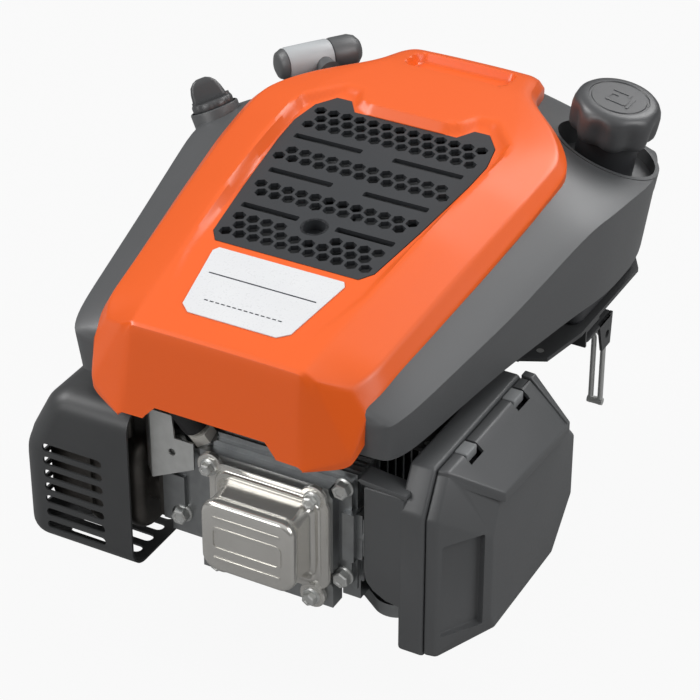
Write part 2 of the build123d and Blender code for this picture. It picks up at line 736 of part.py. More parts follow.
# Lower shroud: tray under the fan with the posts of the starter housing
post_r = 6.0
starter_posts = [(104 * cos(radians(a)), 104 * sin(radians(a))) for a in (25, 200, 245, 315)]
lug_places = ((-115, -92), (109, -118), (-125, -10), (125, 12))
with BuildPart() as lower_shroud:
    with BuildSketch(Plane.XY.offset(shroud_z)):
        with BuildLine():
            Polyline((-60, -150), (86, -150), (86, -126), (113, -124), (113, -4), (133, 6), (140, 45), (140, 140),
                     (118, 178), (60, 182), (-50, 150), (-118, 96), (-133, 40), (-133, -10), (-122, -99),
                     (-60, -99), close=True)
        make_face()
        Circle(bearing_r + 8, mode=Mode.SUBTRACT)
    extrude(amount=shroud_t)
    for x, y in starter_posts:
        disc(x, y, shroud_z, starter_z, post_r)
    for x, y in post_places:
        disc(x, y, shroud_z - 1, shroud_z + shroud_t + 1, 2.6, Mode.SUBTRACT)
    for x, y in lug_places:
        disc(x, y, shroud_z - 1, shroud_z + shroud_t + 1, 2.6, Mode.SUBTRACT)
    bar(filler_foot, filler_head, tube_r + 1.5, Mode.SUBTRACT)
finish(lower_shroud.part, "lower_shroud")

with BuildPart() as shroud_screws:
    for x, y in post_places:
        disc(x, y, shroud_z + shroud_t, shroud_z + shroud_t + 2.4, 4.6)
        disc(x, y, shroud_z, shroud_z + shroud_t, 2.5)
    for x, y in lug_places:
        disc(x, y, shroud_z - 2.4, shroud_z, 4.6)
        disc(x, y, shroud_z, shroud_z + shroud_t, 2.5)
finish(shroud_screws.part, "shroud_screws")

# Starter housing: spoked ring on the posts with the bowl over the rope pulley
bowl_r = pulley_r + 6
with BuildPart() as starter_housing:
    with BuildSketch(Plane.XY.offset(starter_z)):
        Circle(110)
        Circle(84, mode=Mode.SUBTRACT)
        with PolarLocations(0, 8, 5):
            with Locations((72, 0)):
                Rectangle(40, 9)
        Circle(bowl_r - 2.5, mode=Mode.SUBTRACT)
    extrude(amount=3)
    disc(0, 0, starter_z, starter_top, bowl_r)
    disc(0, 0, starter_z - 1, starter_top - 2.5, bowl_r - 2.5, Mode.SUBTRACT)
    disc(0, 0, pulley_z - 4, starter_top - 1, 7)
    with PolarLocations(0, 10):
        with Locations((36, 0, starter_top)):
            Box(22, 5, 12, mode=Mode.SUBTRACT)
    rope_mid = Vector(handle_x, handle_y, handle_z)
    pulley_level = pulley_z + 5
    reach = hypot(handle_x, handle_y)
    tangent_angle = atan2(handle_y, handle_x) - asin(1) + asin((pulley_r - 3) / reach)
    rope_foot = Vector((pulley_r - 3) * cos(tangent_angle), (pulley_r - 3) * sin(tangent_angle), pulley_level)
    rope_dir = (rope_mid - rope_foot).normalized()
    bar(rope_foot + rope_dir * 4, rope_foot + rope_dir * 60, rope_r + 2.5, Mode.SUBTRACT)
finish(starter_housing.part, "starter_housing")

with BuildPart() as starter_pulley:
    disc(0, 0, pulley_z, pulley_z + 10, pulley_r)
    with BuildSketch(Plane.XY.offset(pulley_z + 2.4)):
        Circle(pulley_r + 1)
        Circle(pulley_r - 5.5, mode=Mode.SUBTRACT)
    extrude(amount=5.2, mode=Mode.SUBTRACT)
    disc(0, 0, pulley_z - 1, pulley_z + 11, 7 + run_gap, Mode.SUBTRACT)
    disc(0, 0, pulley_z + 4, pulley_z + 11, pulley_r - 12, Mode.SUBTRACT)
    disc(0, 0, pulley_z, pulley_z + 10, 12)
    disc(0, 0, pulley_z - 1, pulley_z + 11, 7 + run_gap, Mode.SUBTRACT)
finish(starter_pulley.part, "starter_pulley")

grip_dir = Vector(-rope_dir.Y, rope_dir.X, 0).normalized()
if grip_dir.X < 0:
    grip_dir = grip_dir * -1
with BuildPart() as starter_handle:
    bar(rope_mid - grip_dir * handle_length / 2, rope_mid + grip_dir * handle_length / 2, handle_r)
    fillet(edges().filter_by(GeomType.CIRCLE), 5)
    bar(rope_mid - rope_dir * 22, rope_mid, 8)
    bar(rope_mid - rope_dir * 23, rope_mid - rope_dir * 2, rope_r + 0.05, Mode.SUBTRACT)
finish(starter_handle.part, "starter_handle")

with BuildPart() as starter_rope:
    bar(rope_foot + rope_dir * 24, rope_mid - rope_dir * 3, rope_r)
finish(starter_rope.part, "starter_rope")

# ==========================================================================
# Top cover
# ==========================================================================
def cover_section(y, edge_w, low_z, edge_z, brow_w, brow_z, top_w, top_height, grow, lift):
    """One cross-section of the top cover, grown sideways and shifted in height."""
    return halves(
        across(y),
        (edge_w + grow, low_z + min(lift, 0) * 2),
        (edge_w + grow, edge_z + lift / 2),
        (brow_w + grow * 0.7, brow_z + lift),
        (top_w + grow * 0.5, top_height + lift),
    )


def cover_envelope(grow, lift, nose=0.0):
    """Cross-sections of the top cover from the nose to the tail."""
    return [
        cover_section(nose_y + nose, 66, 148, 149, 64, 150, 60, 151, grow, lift),
        cover_section(brow_y + nose, 87, 152, 156, 66, 197, 59, 210, grow, lift),
        cover_section(facet_y + nose, 93, 156, 159, 68, 207, 60, 211, grow, lift),
        cover_section(cheek_y, 96.5, 165, 182, 86, 200, 61, 213.5, grow, lift),
        cover_section(front_y, 99.5, 178, 192, 93, 204, 62, 217, grow, lift),
        cover_section(mid_y, 111, 204, 217, 103, 227, 70, 241, grow, lift),
        cover_section(crown_line_y, 116, 216, 230, 108, 238, 74, 250, grow, lift),
        cover_section(wide_y, 118, 224, 238, 110, 245, 76, top_z, grow, lift),
        cover_section(hip_y, 97, 232, 246, 91, 250, 68, top_z + 1, grow, lift),
        cover_section(neck_y, 62, 230, 246, 58, 251, 50, top_z + 1, grow, lift),
        cover_section(tail_y + min(lift, 0) * 0.9, 52, 222, 238, 48, 243, 40, 246, grow, lift),
    ]


def tilted_plate(x_mid, y_mid, z_mid, slope):
    """Plane lying on the cover's slope, rising towards +Y."""
    return Plane((x_mid, y_mid, z_mid), x_dir=(1, 0, 0), z_dir=(0, -sin(radians(slope)), cos(radians(slope))))


grille_front = -86.0
grille_rear = 70.0
grille_outline_points = (
    (50, grille_front), (57, grille_front + 8), (71, 38), (68, grille_rear - 4), (52, grille_rear + 14),
    (43, grille_rear + 14), (34, grille_rear + 2),
)
grille_plane = tilted_plate(0, grille_mid_y, grille_mid_z, grille_slope)
with BuildPart() as top_cover:
    loft(sections=cover_envelope(0, 0), ruled=True)
    loft(sections=cover_envelope(-plastic, -plastic, nose=3), ruled=True, mode=Mode.SUBTRACT)
    with BuildSketch(across(nose_y - 5)) as notch:
        Trapezoid(94, 26, 62)
    extrude(notch.sketch.moved(Location((0, 0, 148))), amount=-18, mode=Mode.SUBTRACT)
    opening = halves(grille_plane, *grille_outline_points)
    extrude(opening, amount=12, mode=Mode.SUBTRACT)
    extrude(opening, amount=-14, mode=Mode.SUBTRACT)
    bar(rope_mid - rope_dir * 90, rope_mid, rope_r + 3, Mode.SUBTRACT)
    block(-39, 39, 136, 154, top_z - 8, top_z - 1)
    block(-37, 37, 138, 152, top_z - 5.5, top_z + 6, Mode.SUBTRACT)
finish(top_cover.part, "top_cover")

# Grille insert: honeycomb bands, slot rows and the round screw well
slot_w = 44.0
slot_h = 5.5
hex_pitch = 9.6
hex_r = 4.3
with BuildPart() as grille_insert:
    with BuildSketch(grille_plane) as mesh_plate:
        add(halves(Plane.XY, *grille_outline_points))
        offset(amount=-seat_gap)
        for band_y, columns, rows in ((-71, 10, 3), (-34, 11, 2), (4, 12, 2), (50, 12, 3)):
            with Locations((0, band_y)):
                with HexLocations(hex_pitch / 2, columns, rows):
                    RegularPolygon(hex_r, 6, mode=Mode.SUBTRACT)
        for row_y, row_x in ((-52, 34), (-15, 34), (26, 36)):
            with Locations((row_x, row_y), (-row_x, row_y)):
                SlotOverall(slot_w, slot_h, mode=Mode.SUBTRACT)
        with Locations((0, -52)):
            Circle(8, mode=Mode.SUBTRACT)
    extrude(amount=-3.2)
finish(grille_insert.part, "grille_insert")

# Rating label on the front slope
with BuildPart() as label_plate:
    label_slope_deg = degrees(atan2(241 - 217, mid_y - front_y))
    label_plane = tilted_plate(0, -138, 217 + (front_y + 138) * -(241 - 217) / (mid_y - front_y), label_slope_deg)
    plate = halves(label_plane, (30, -23), (34, -20), (46, 20), (43, 23))
    extrude(plate, amount=0.5)
finish(label_plate.part, "label_plate")

# ==========================================================================
# Blower housing: dark shoulders around the top cover, open below the fan
# ==========================================================================
def shoulder_section(y, low, crease, crown, wall=0.0, tall=0.0):
    """Cross-section of the blower housing; low, crease and crown are (left, right, height)."""
    return polygon(
        across(y),
        (low[1] - wall, low[2] - wall * 2), (crease[1] - wall, crease[2] - wall), (crown[1] - wall, crown[2] - wall),
        (crown[1] - wall, crown[2] - wall + tall), (-crown[0] + wall, crown[2] - wall + tall),
        (-crown[0] + wall, crown[2] - wall), (-crease[0] + wall, crease[2] - wall), (-low[0] + wall, low[2] - wall * 2),
    )


def shoulder_body(wall=0.0, tall=0.0, ends=0.0):
    """Cross-sections of the housing from the front wall to the tail."""
    return [
        shoulder_section(-178 + ends, (104, 104, 157), (108, 108, 180), (88, 88, 186), wall, tall + 0.5),
        shoulder_section(-158, (115, 115, 152), (120, 120, 186), (92, 92, 198), wall, tall + 0.5),
        shoulder_section(-60, (129, 129, 158), (136, 136, 201), (100, 100, 221), wall, tall + 0.5),
        shoulder_section(34, (142, 142, 156), (149, 149, 221), (106, 106, 240), wall, tall + 0.5),
        shoulder_section(92, (137, 145, 150), (144, 153, 217), (84, 88, 243), wall, tall + 0.5),
        shoulder_section(136, (112, 143, 148), (118, 152, 208), (54, 54, 242), wall, tall + 0.5),
        shoulder_section(176, (66, 128, 150), (70, 136, 206), (44, 46, 232), wall, tall + 0.5),
        shoulder_section(188 - ends, (50, 112, 154), (54, 118, 200), (38, 40, 222), wall, tall + 0.5),
    ]


filler_dir = Vector(sin(radians(filler_tilt)), 0, cos(radians(filler_tilt)))
filler_base = Vector(filler_x, filler_y, tank_top)
oil_dir = (filler_head - filler_foot).normalized()
well_r = cap_r + 4
with BuildPart() as housing_core:
    bar(filler_base + filler_dir * 5, filler_base + filler_dir * 60, well_r + plastic)
    block(-72, 78, 160, 200, 198, 201)
    for x, y in lug_places:
        disc(x, y, 165, 250, 4)
    loft(sections=shoulder_body(), ruled=True, mode=Mode.INTERSECT)

with BuildPart() as blower_housing:
    loft(sections=shoulder_body(), ruled=True)
    bar(filler_head - oil_dir * 26, filler_head - oil_dir * 7.2, tube_r + 6)
    loft(sections=shoulder_body(wall=plastic, tall=60, ends=plastic), ruled=True, mode=Mode.SUBTRACT)
    add(housing_core.part)
    for x, y in lug_places:
        disc(x, y, shroud_z + shroud_t, 170, 4)
    loft(sections=cover_envelope(seat_gap, seat_gap), ruled=True, mode=Mode.SUBTRACT)
    bar(filler_head - oil_dir * 70, filler_head + oil_dir * 20, tube_r + seat_gap, Mode.SUBTRACT)
    bar(filler_head - oil_dir * 7.2, filler_head + oil_dir * 20, tube_r + 4 + clear, Mode.SUBTRACT)
    bar(filler_base + filler_dir * (5 + plastic), filler_base + filler_dir * 80, well_r, Mode.SUBTRACT)
    bar(filler_base, filler_base + filler_dir * 20, neck_r + seat_gap, Mode.SUBTRACT)
    bar(rope_mid - rope_dir * 70, rope_mid - rope_dir * 14, 9.5, Mode.SUBTRACT)
    bar(rope_mid - rope_dir * 17, rope_mid + rope_dir * 60, 13.5, Mode.SUBTRACT)
    bar(rope_mid - grip_dir * (handle_length / 2 + 4), rope_mid + grip_dir * (handle_length / 2 + 4),
        handle_r + 2, Mode.SUBTRACT)
finish(blower_housing.part, "blower_housing")

# ==========================================================================
# Fuel tank and cap
# ==========================================================================
with BuildPart() as fuel_tank:
    with BuildSketch(Plane.XY.offset(shroud_z + shroud_t)):
        with BuildLine():
            Polyline((100, 48), (136, 48), (137, 140), (112, 172), (64, 172), (62, 112), (84, 82), close=True)
        make_face()
        fillet(vertices(), 8)
    extrude(amount=tank_top - shroud_z - shroud_t - 0.5)
    fillet(faces().sort_by(Axis.Z)[0].edges(), 4)
    bar(filler_base - filler_dir * 6, filler_base + filler_dir * 50, neck_r)
    bar(filler_base - filler_dir * 20, filler_base + filler_dir * 51, neck_r - 3, Mode.SUBTRACT)
    with BuildSketch(Plane.XY.offset(shroud_z + shroud_t + 3)) as hollow:
        with BuildLine():
            Polyline((101, 51), (133, 51), (134, 139), (110, 169), (67, 169), (65, 113), (86, 84), close=True)
        make_face()
        fillet(vertices(), 6)
    extrude(hollow.sketch, amount=tank_top - shroud_z - shroud_t - 6, mode=Mode.SUBTRACT)
finish(fuel_tank.part, "fuel_tank")

cap_foot = filler_base + filler_dir * 40
cap_plane = Plane(cap_foot, x_dir=(0, 1, 0), z_dir=filler_dir)
cap_height = 27.0
with BuildPart() as fuel_cap:
    with BuildSketch(cap_plane):
        Circle(cap_r)
    extrude(amount=cap_height)
    chamfer(faces().sort_by(Axis.Z)[-1].edges(), 4)
    with BuildSketch(cap_plane) as grips:
        with PolarLocations(cap_r + 7, cap_grips):
            Circle(9.0)
    extrude(grips.sketch, amount=cap_height, mode=Mode.SUBTRACT)
    with BuildSketch(Plane(cap_foot + filler_dir * cap_height, z_dir=filler_dir)) as ring:
        Circle(21)
        Circle(19.4, mode=Mode.SUBTRACT)
    extrude(ring.sketch, amount=-0.8, mode=Mode.SUBTRACT)
    with BuildSketch(cap_plane) as well:
        Circle(neck_r + clear)
        Circle(neck_r - 3 - clear, mode=Mode.SUBTRACT)
    extrude(well.sketch, amount=10 + clear, mode=Mode.SUBTRACT)
finish(fuel_cap.part, "fuel_cap")

# ==========================================================================
# Oil filler tube and dipstick
# ==========================================================================
with BuildPart() as oil_filler_tube:
    bar(filler_foot + oil_dir * 2, filler_head, tube_r)
    bar(filler_head - oil_dir * 7, filler_head - oil_dir * 2, tube_r + 4)
    bar(filler_foot, filler_head + oil_dir, tube_bore, Mode.SUBTRACT)
finish(oil_filler_tube.part, "oil_filler_tube")

with BuildPart() as oil_dipstick:
    bar(filler_foot - oil_dir * 36, filler_head, 2)
    bar(filler_head - oil_dir * 14, filler_head, tube_bore - run_gap)
    bar(filler_head + oil_dir * 0.2, filler_head + oil_dir * 6, 15)
    bar(filler_head - oil_dir, filler_head + oil_dir * 1, tube_bore - run_gap)
    wing_plane = Plane(filler_head + oil_dir * 5, x_dir=(0.35, 0.94, 0), z_dir=oil_dir)
    with BuildSketch(wing_plane):
        RectangleRounded(30, 7, 3)
    extrude(amount=15)
    fillet(edges().group_by(Axis.Z)[-1], 2)
finish(oil_dipstick.part, "oil_dipstick")

# ==========================================================================
# Muffler side
# ==========================================================================
def round_corner(x, y, radius, start, turn):
    """Points of a quarter arc about a centre, from the start angle through the turn."""
    steps = 6
    return [(x + radius * cos(radians(start + turn * i / steps)), y + radius * sin(radians(start + turn * i / steps)))
            for i in range(steps + 1)]


def guard_solid(wall, right, rear):
    """The guard's drawn form: where its plan, its front view and its side view overlap."""
    left = guard_left + wall
    front = guard_front + wall
    low = guard_bottom + wall
    high = guard_top - wall
    plan_r = guard_corner_r - wall
    slope_r = guard_slope_r - wall
    brow_r = guard_brow_r - wall
    foot_r = guard_foot_r - wall
    plan = [(right, front), *round_corner(left + plan_r, front + plan_r, plan_r, 270, -90), (left, rear), (right, rear)]
    elevation = [(right, low), *round_corner(left + foot_r, low + foot_r, foot_r, 270, -90),
                 *round_corner(left + slope_r, high - slope_r, slope_r, 180, -90), (right, high)]
    side = [(rear, low), *round_corner(front + foot_r, low + foot_r, foot_r, 270, -90),
            *round_corner(front + brow_r, high - brow_r, brow_r, 180, -90), (rear, high)]
    with BuildPart() as drawn:
        extrude(polygon(Plane.XY.offset(low), *plan), amount=high - low)
        extrude(polygon(across(front - 1), *elevation), amount=front - rear - 2, mode=Mode.INTERSECT)
        extrude(polygon(sideways(left - 1), *side), amount=right - left + 2, mode=Mode.INTERSECT)
    return drawn.part


guard_body = guard_solid(0, guard_right, guard_rear)
guard_hollow = guard_solid(guard_t, guard_right + 5, guard_rear + 5)
with BuildPart() as muffler_guard:
    add(guard_body)
    add(guard_hollow, mode=Mode.SUBTRACT)
    with BuildSketch(across(guard_front - 1)) as slots:
        with Locations(((guard_left + 36 + guard_right - 4) / 2, 70)):
            with GridLocations(0, 13, 1, 7):
                SlotOverall(40, 8)
    extrude(slots.sketch, amount=-6, mode=Mode.SUBTRACT)
    with BuildSketch(sideways(guard_left - 1)) as side_slots:
        with Locations(((guard_front + 32 + guard_rear) / 2, 70)):
            with GridLocations(0, 13, 1, 7):
                SlotOverall(40, 8)
    extrude(side_slots.sketch, amount=6, mode=Mode.SUBTRACT)
    with BuildSketch(Plane.XY.offset(guard_bottom - 1)) as floor_slots:
        with Locations(((guard_left + guard_right) / 2 + 8, (guard_front + guard_rear) / 2)):
            with GridLocations(0, 13, 1, 5):
                SlotOverall(56, 8)
    extrude(floor_slots.sketch, amount=6, mode=Mode.SUBTRACT)
finish(muffler_guard.part, "muffler_guard")

muffler_x = -56.0
with BuildPart() as muffler:
    with BuildSketch(sideways(-140)):
        with Locations((-145, 70)):
            RectangleRounded(62, 72, 20)
    extrude(amount=72)
    fillet(faces().sort_by(Axis.X)[0].edges(), 8)
    fillet(faces().sort_by(Axis.X)[-1].edges(), 8)
    with BuildSketch(sideways(-106)):
        with Locations((-145, 70)):
            RectangleRounded(68, 78, 22)
    extrude(amount=2.4)
    bar((-70, port_y, exhaust_z), (muffler_x, port_y, exhaust_z), 12)
    bar((-75, port_y, exhaust_z), (-50, port_y, exhaust_z), port_r + 1, Mode.SUBTRACT)
    block(muffler_x - 3, muffler_x, port_y - 12, port_y + 14, exhaust_z - 17, exhaust_z + 17)
    bar((muffler_x - 4, port_y, exhaust_z), (-50, port_y, exhaust_z), port_r + 1, Mode.SUBTRACT)
    for y in (-162, -128):
        bar((-84, y, 100), (-84, y, guard_top - guard_t), 4)
finish(muffler.part, "muffler")

with BuildPart() as heat_shield:
    with BuildSketch(Plane.XY.offset(88)):
        with BuildLine():
            Polyline((-68, -166), (-67, -166), (-66.2, -159), (-52.4, -137), (-53.6, -137), (-67.4, -158.6),
                     (-68, -164), close=True)
        make_face()
    extrude(amount=42)
finish(heat_shield.part, "heat_shield")

# ==========================================================================
# Carburettor side
# ==========================================================================
carb_face_x = port_face_x
carb_bore = 8.0
with BuildPart() as carburettor:
    block(carb_face_x, carb_face_x + 4, port_y - 10, port_y + 12, 67, 101)
    bar((carb_face_x, port_y, cylinder_z), (box_inner_x, port_y, cylinder_z), 10.1)
    block(carb_face_x + 3, box_inner_x - 2, port_y - 9.5, port_y + 13, 70, 98)
    disc((carb_face_x + box_inner_x) / 2, port_y + 3, 62, 71, 11)
    bar((carb_face_x - 1, port_y, cylinder_z), (box_inner_x + 1, port_y, cylinder_z), carb_bore, Mode.SUBTRACT)
    throttle_x = carb_face_x + 6.5
    disc(throttle_x, port_y, 66, 102, 2 + run_gap, Mode.SUBTRACT)
finish(carburettor.part, "carburettor")

with BuildPart() as float_bowl:
    bowl_x = (carb_face_x + box_inner_x) / 2
    disc(bowl_x, port_y + 3, 44, 62, 11)
    fillet(faces().sort_by(Axis.Z)[0].edges(), 4)
    disc(bowl_x, port_y + 3, 41, 45, 4)
finish(float_bowl.part, "float_bowl")


# Throttle spindle: disc in the bore, lever on top
with BuildPart() as throttle_shaft:
    disc(throttle_x, port_y, 70.5, 105, 2)
    bar((throttle_x - 0.6, port_y, cylinder_z), (throttle_x + 0.6, port_y, cylinder_z), carb_bore - clear)
    with BuildSketch(Plane.XY.offset(102)) as lever:
        with Locations((throttle_x, port_y + 9)):
            SlotOverall(26, 8, rotation=90)
    extrude(lever.sketch, amount=2)
finish(throttle_shaft.part, "throttle_shaft")

# Air cleaner: base box with a screening wall, pleated element, clipped cover
base_profile = (
    (box_front_y, 22), (box_front_y, 122), (box_front_y + 15, box_top_z), (box_rear_y - 24, box_top_z),
    (box_rear_y, 112), (box_rear_y, 40), (box_rear_y - 38, box_bottom_z), (box_front_y + 20, box_bottom_z),
)
cover_profile = (
    (box_front_y + 2, 14), (box_front_y + 2, 120), (box_front_y + 16, box_top_z - 2), (box_rear_y - 24, box_top_z - 2),
    (box_rear_y - 1, 110), (box_rear_y - 1, 40), (box_rear_y - 40, 6), (box_front_y + 22, 4),
)
outer_profile = (
    (-131, 27), (-131, 97), (-121, 118), (-29, 113), (-10, 91), (-10, 49), (-41, 19), (-122, 14),
)


def scaled(points, amount):
    """Profile pulled in towards its middle by a wall thickness."""
    y_mid = sum(p[0] for p in points) / len(points)
    z_mid = sum(p[1] for p in points) / len(points)
    y_half = max(abs(p[0] - y_mid) for p in points)
    z_half = max(abs(p[1] - z_mid) for p in points)
    return [(y_mid + (y - y_mid) * (1 - amount / y_half), z_mid + (z - z_mid) * (1 - amount / z_half))
            for y, z in points]


clip_y = (-128.0, -62.0)
with BuildPart() as air_filter_base:
    extrude(polygon(sideways(box_inner_x), *base_profile), amount=box_joint_x - box_inner_x)
    extrude(polygon(sideways(box_inner_x + 3), *scaled(base_profile, 3)),
            amount=box_joint_x - box_inner_x, mode=Mode.SUBTRACT)
    with BuildSketch(across(box_front_y + 1.6)) as screen:
        with BuildLine():
            Polyline((91, 62), (91, 130), (box_inner_x + 1, 130), (box_inner_x + 1, 44), (104, 48), (95, 54), close=True)
        make_face()
    extrude(screen.sketch, amount=1.6)
    block(91, box_inner_x + 1, box_front_y, box_front_y + 20, 128, 130)
    bar((box_inner_x - 1, port_y, cylinder_z), (box_inner_x + 4, port_y, cylinder_z), carb_bore, Mode.SUBTRACT)
    for y in clip_y:
        block(box_joint_x - 8, box_joint_x + 6, y - 8, y + 8, box_top_z - 1, box_top_z + 2)
finish(air_filter_base.part, "air_filter_base")

with BuildPart() as air_filter_element:
    with BuildSketch(sideways(box_inner_x + 3.2)) as pad:
        with BuildLine():
            Polyline((-140, 30), (-140, 112), (-34, 112), (-34, 30), close=True)
        make_face()
    extrude(pad.sketch, amount=30)
    for i in range(20):
        y = -134 + i * 5
        block(box_inner_x + 22, box_inner_x + 34, y - 0.9, y + 0.9, 34, 108, Mode.SUBTRACT)
finish(air_filter_element.part, "air_filter_element")

with BuildPart() as air_filter_cover:
    front_face = polygon(sideways(box_joint_x + seat_gap), *cover_profile)
    outer_face = polygon(sideways(box_outer_x), *outer_profile)
    loft(sections=[front_face, outer_face], ruled=True)
    inner_front = polygon(sideways(box_joint_x), *scaled(cover_profile, 3.5))
    inner_outer = polygon(sideways(box_outer_x - 3), *scaled(outer_profile, 3))
    loft(sections=[inner_front, inner_outer], ruled=True, mode=Mode.SUBTRACT)
    for y in clip_y:
        block(box_joint_x - 1, box_joint_x + 10, y - 8.3, y + 8.3, box_top_z - 9, box_top_z + 3, Mode.SUBTRACT)
finish(air_filter_cover.part, "air_filter_cover")

# Speed control: black bracket, governor arm with its links
bracket_z = 122.0
with BuildPart() as control_bracket:
    block(80, 140, 52, 54, 92, shroud_z)
    block(80, 140, 54, 98, bracket_z - 2, bracket_z)
    block(138, 140, 54, 98, bracket_z - 26, bracket_z)
    block(80, 140, 54, 74, shroud_z - 2, shroud_z)
    bar((136, 90, bracket_z - 14), (142, 90, bracket_z - 14), 3, Mode.SUBTRACT)
    disc(108, 84, bracket_z - 3, bracket_z + 1, 3 + run_gap, Mode.SUBTRACT)
finish(control_bracket.part, "control_bracket")

with BuildPart() as governor_arm:
    disc(108, 84, bracket_z - 8, bracket_z + 1.6, 3)
    disc(108, 84, bracket_z + clear, bracket_z + 2, 7)
    with BuildSketch(Plane.XY.offset(bracket_z - 4 - clear)):
        with Locations((92, 84)):
            SlotOverall(44, 9)
    extrude(amount=2)
    disc(108, 84, bracket_z - 4 - clear, bracket_z - 2 - clear, 7)
finish(governor_arm.part, "governor_arm")

# Two bent wires from the control bracket down to their end stop
wire_r = 1.9


def wire_point(shift, run, height):
    """Point of a control wire, its run measured rearwards from the bracket's front edge."""
    return (116 + shift + 0.41 * run, 72 + run, height)


with BuildPart() as control_wires:
    for shift in (0, 7):
        with BuildLine() as route:
            Polyline(wire_point(shift, 0, bracket_z - 2 - wire_r), wire_point(shift, 14, bracket_z - 5),
                     wire_point(shift, 27, bracket_z - 24), wire_point(shift, 27, 44))
            fillet(route.vertices().sort_by(Axis.Z)[1:3], 8)
        with BuildSketch(Plane(route.line @ 0, z_dir=route.line % 0)) as wire:
            Circle(wire_r)
        sweep(wire.sketch, path=route.line)
    bar((125, 99, 46), (136, 99, 46), 2.6)
finish(control_wires.part, "control_wires")
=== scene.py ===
import json
from math import atan, atan2, cos, pi, radians, sin, sqrt

import bmesh
import bpy
from mathutils import Matrix, Vector


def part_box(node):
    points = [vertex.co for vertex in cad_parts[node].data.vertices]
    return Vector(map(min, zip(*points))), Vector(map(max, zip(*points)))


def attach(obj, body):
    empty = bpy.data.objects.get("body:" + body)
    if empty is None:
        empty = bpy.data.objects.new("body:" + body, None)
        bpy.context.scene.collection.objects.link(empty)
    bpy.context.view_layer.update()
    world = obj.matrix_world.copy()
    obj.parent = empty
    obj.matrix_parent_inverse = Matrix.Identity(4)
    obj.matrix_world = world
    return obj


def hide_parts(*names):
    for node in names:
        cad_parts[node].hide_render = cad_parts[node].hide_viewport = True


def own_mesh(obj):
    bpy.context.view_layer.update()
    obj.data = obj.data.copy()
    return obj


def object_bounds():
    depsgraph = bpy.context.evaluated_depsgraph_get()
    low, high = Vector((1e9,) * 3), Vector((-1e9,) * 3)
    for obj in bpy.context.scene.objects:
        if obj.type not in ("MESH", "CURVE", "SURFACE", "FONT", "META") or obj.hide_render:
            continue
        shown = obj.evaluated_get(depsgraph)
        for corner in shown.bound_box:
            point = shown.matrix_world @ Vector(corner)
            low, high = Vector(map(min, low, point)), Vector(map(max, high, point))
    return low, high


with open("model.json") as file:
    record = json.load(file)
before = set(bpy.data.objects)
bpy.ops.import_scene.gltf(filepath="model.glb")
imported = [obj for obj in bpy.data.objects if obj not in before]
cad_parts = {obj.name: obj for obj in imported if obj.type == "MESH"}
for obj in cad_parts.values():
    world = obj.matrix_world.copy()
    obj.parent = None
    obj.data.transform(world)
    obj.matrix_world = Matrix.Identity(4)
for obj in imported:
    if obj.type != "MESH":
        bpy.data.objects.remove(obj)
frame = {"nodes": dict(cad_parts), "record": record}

bl_info = {
    "name": "Vertical shaft petrol engine",
    "version": (1, 0, 0),
    "blender": (4, 5, 0),
    "location": "3D View > Sidebar > Engine",
    "description": "Dresses a small petrol engine with its moulded covers, castings and finishes",
    "category": "Object",
}

CAD_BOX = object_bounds()
MM = 0.001
MERGE_REACH = 1e-6  # metres between points that are one
# Stands a plan drawn in (x, z) upright, its heights running towards the front
FACE_TURN = Matrix.Rotation(radians(90), 4, "X")
# Stands a plan drawn in (-y, z) upright, its heights running towards the exhaust side
SIDE_TURN = Matrix.Rotation(radians(-90), 4, "Z") @ FACE_TURN
MATERIALS = {}


# ---------------------------------------------------------------------------
# Mesh helpers
# ---------------------------------------------------------------------------
def mm(x, y, z):
    """A point given in millimetres, as Blender metres."""
    return Vector((x * MM, y * MM, z * MM))


def in_mm(length):
    """A length property in millimetres, to a micrometre."""
    return round(length / MM, 3)


def place(bm, name, slot, body="block", replaces=(), smooth=50.0, material=None):
    """Turns a finished bmesh into a named piece that rides on a body.

    smooth is the angle in degrees past which an edge stays sharp, and material a finish that
    differs from the slot's own.
    """
    mesh = bpy.data.meshes.new(name)
    bm.to_mesh(mesh)
    bm.free()
    piece = bpy.data.objects.new(name, mesh)
    bpy.context.scene.collection.objects.link(piece)
    mesh.materials.append(MATERIALS[material or slot])
    if smooth:
        mesh.shade_smooth()
        mesh.set_sharp_from_angle(angle=radians(smooth))
    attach(piece, body)
    if replaces:
        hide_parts(*replaces)
    return piece


def settled(bm, *modifiers):
    """The bmesh after modifiers, each given as (kind, settings)."""
    mesh = bpy.data.meshes.new("working")
    bm.to_mesh(mesh)
    bm.free()
    piece = bpy.data.objects.new("working", mesh)
    bpy.context.scene.collection.objects.link(piece)
    for kind, settings in modifiers:
        modifier = piece.modifiers.new(kind.title(), kind)
        for key, value in settings.items():
            setattr(modifier, key, value)
    graph = bpy.context.evaluated_depsgraph_get()
    result = bpy.data.meshes.new_from_object(piece.evaluated_get(graph))
    done = bmesh.new()
    done.from_mesh(result)
    bpy.data.objects.remove(piece)
    bpy.data.meshes.remove(mesh)
    bpy.data.meshes.remove(result)
    return done


def cut(bm, *tools, operation="DIFFERENCE"):
    """The bmesh with each tool's solid taken away from it, or joined to it."""
    for tool in tools:
        mesh = bpy.data.meshes.new("tool")
        tool.to_mesh(mesh)
        tool.free()
        cutter = bpy.data.objects.new("tool", mesh)
        bpy.context.scene.collection.objects.link(cutter)
        bm = settled(bm, ("BOOLEAN", {"object": cutter, "operation": operation, "solver": "EXACT"}))
        bpy.data.objects.remove(cutter)
        bpy.data.meshes.remove(mesh)
    return bm


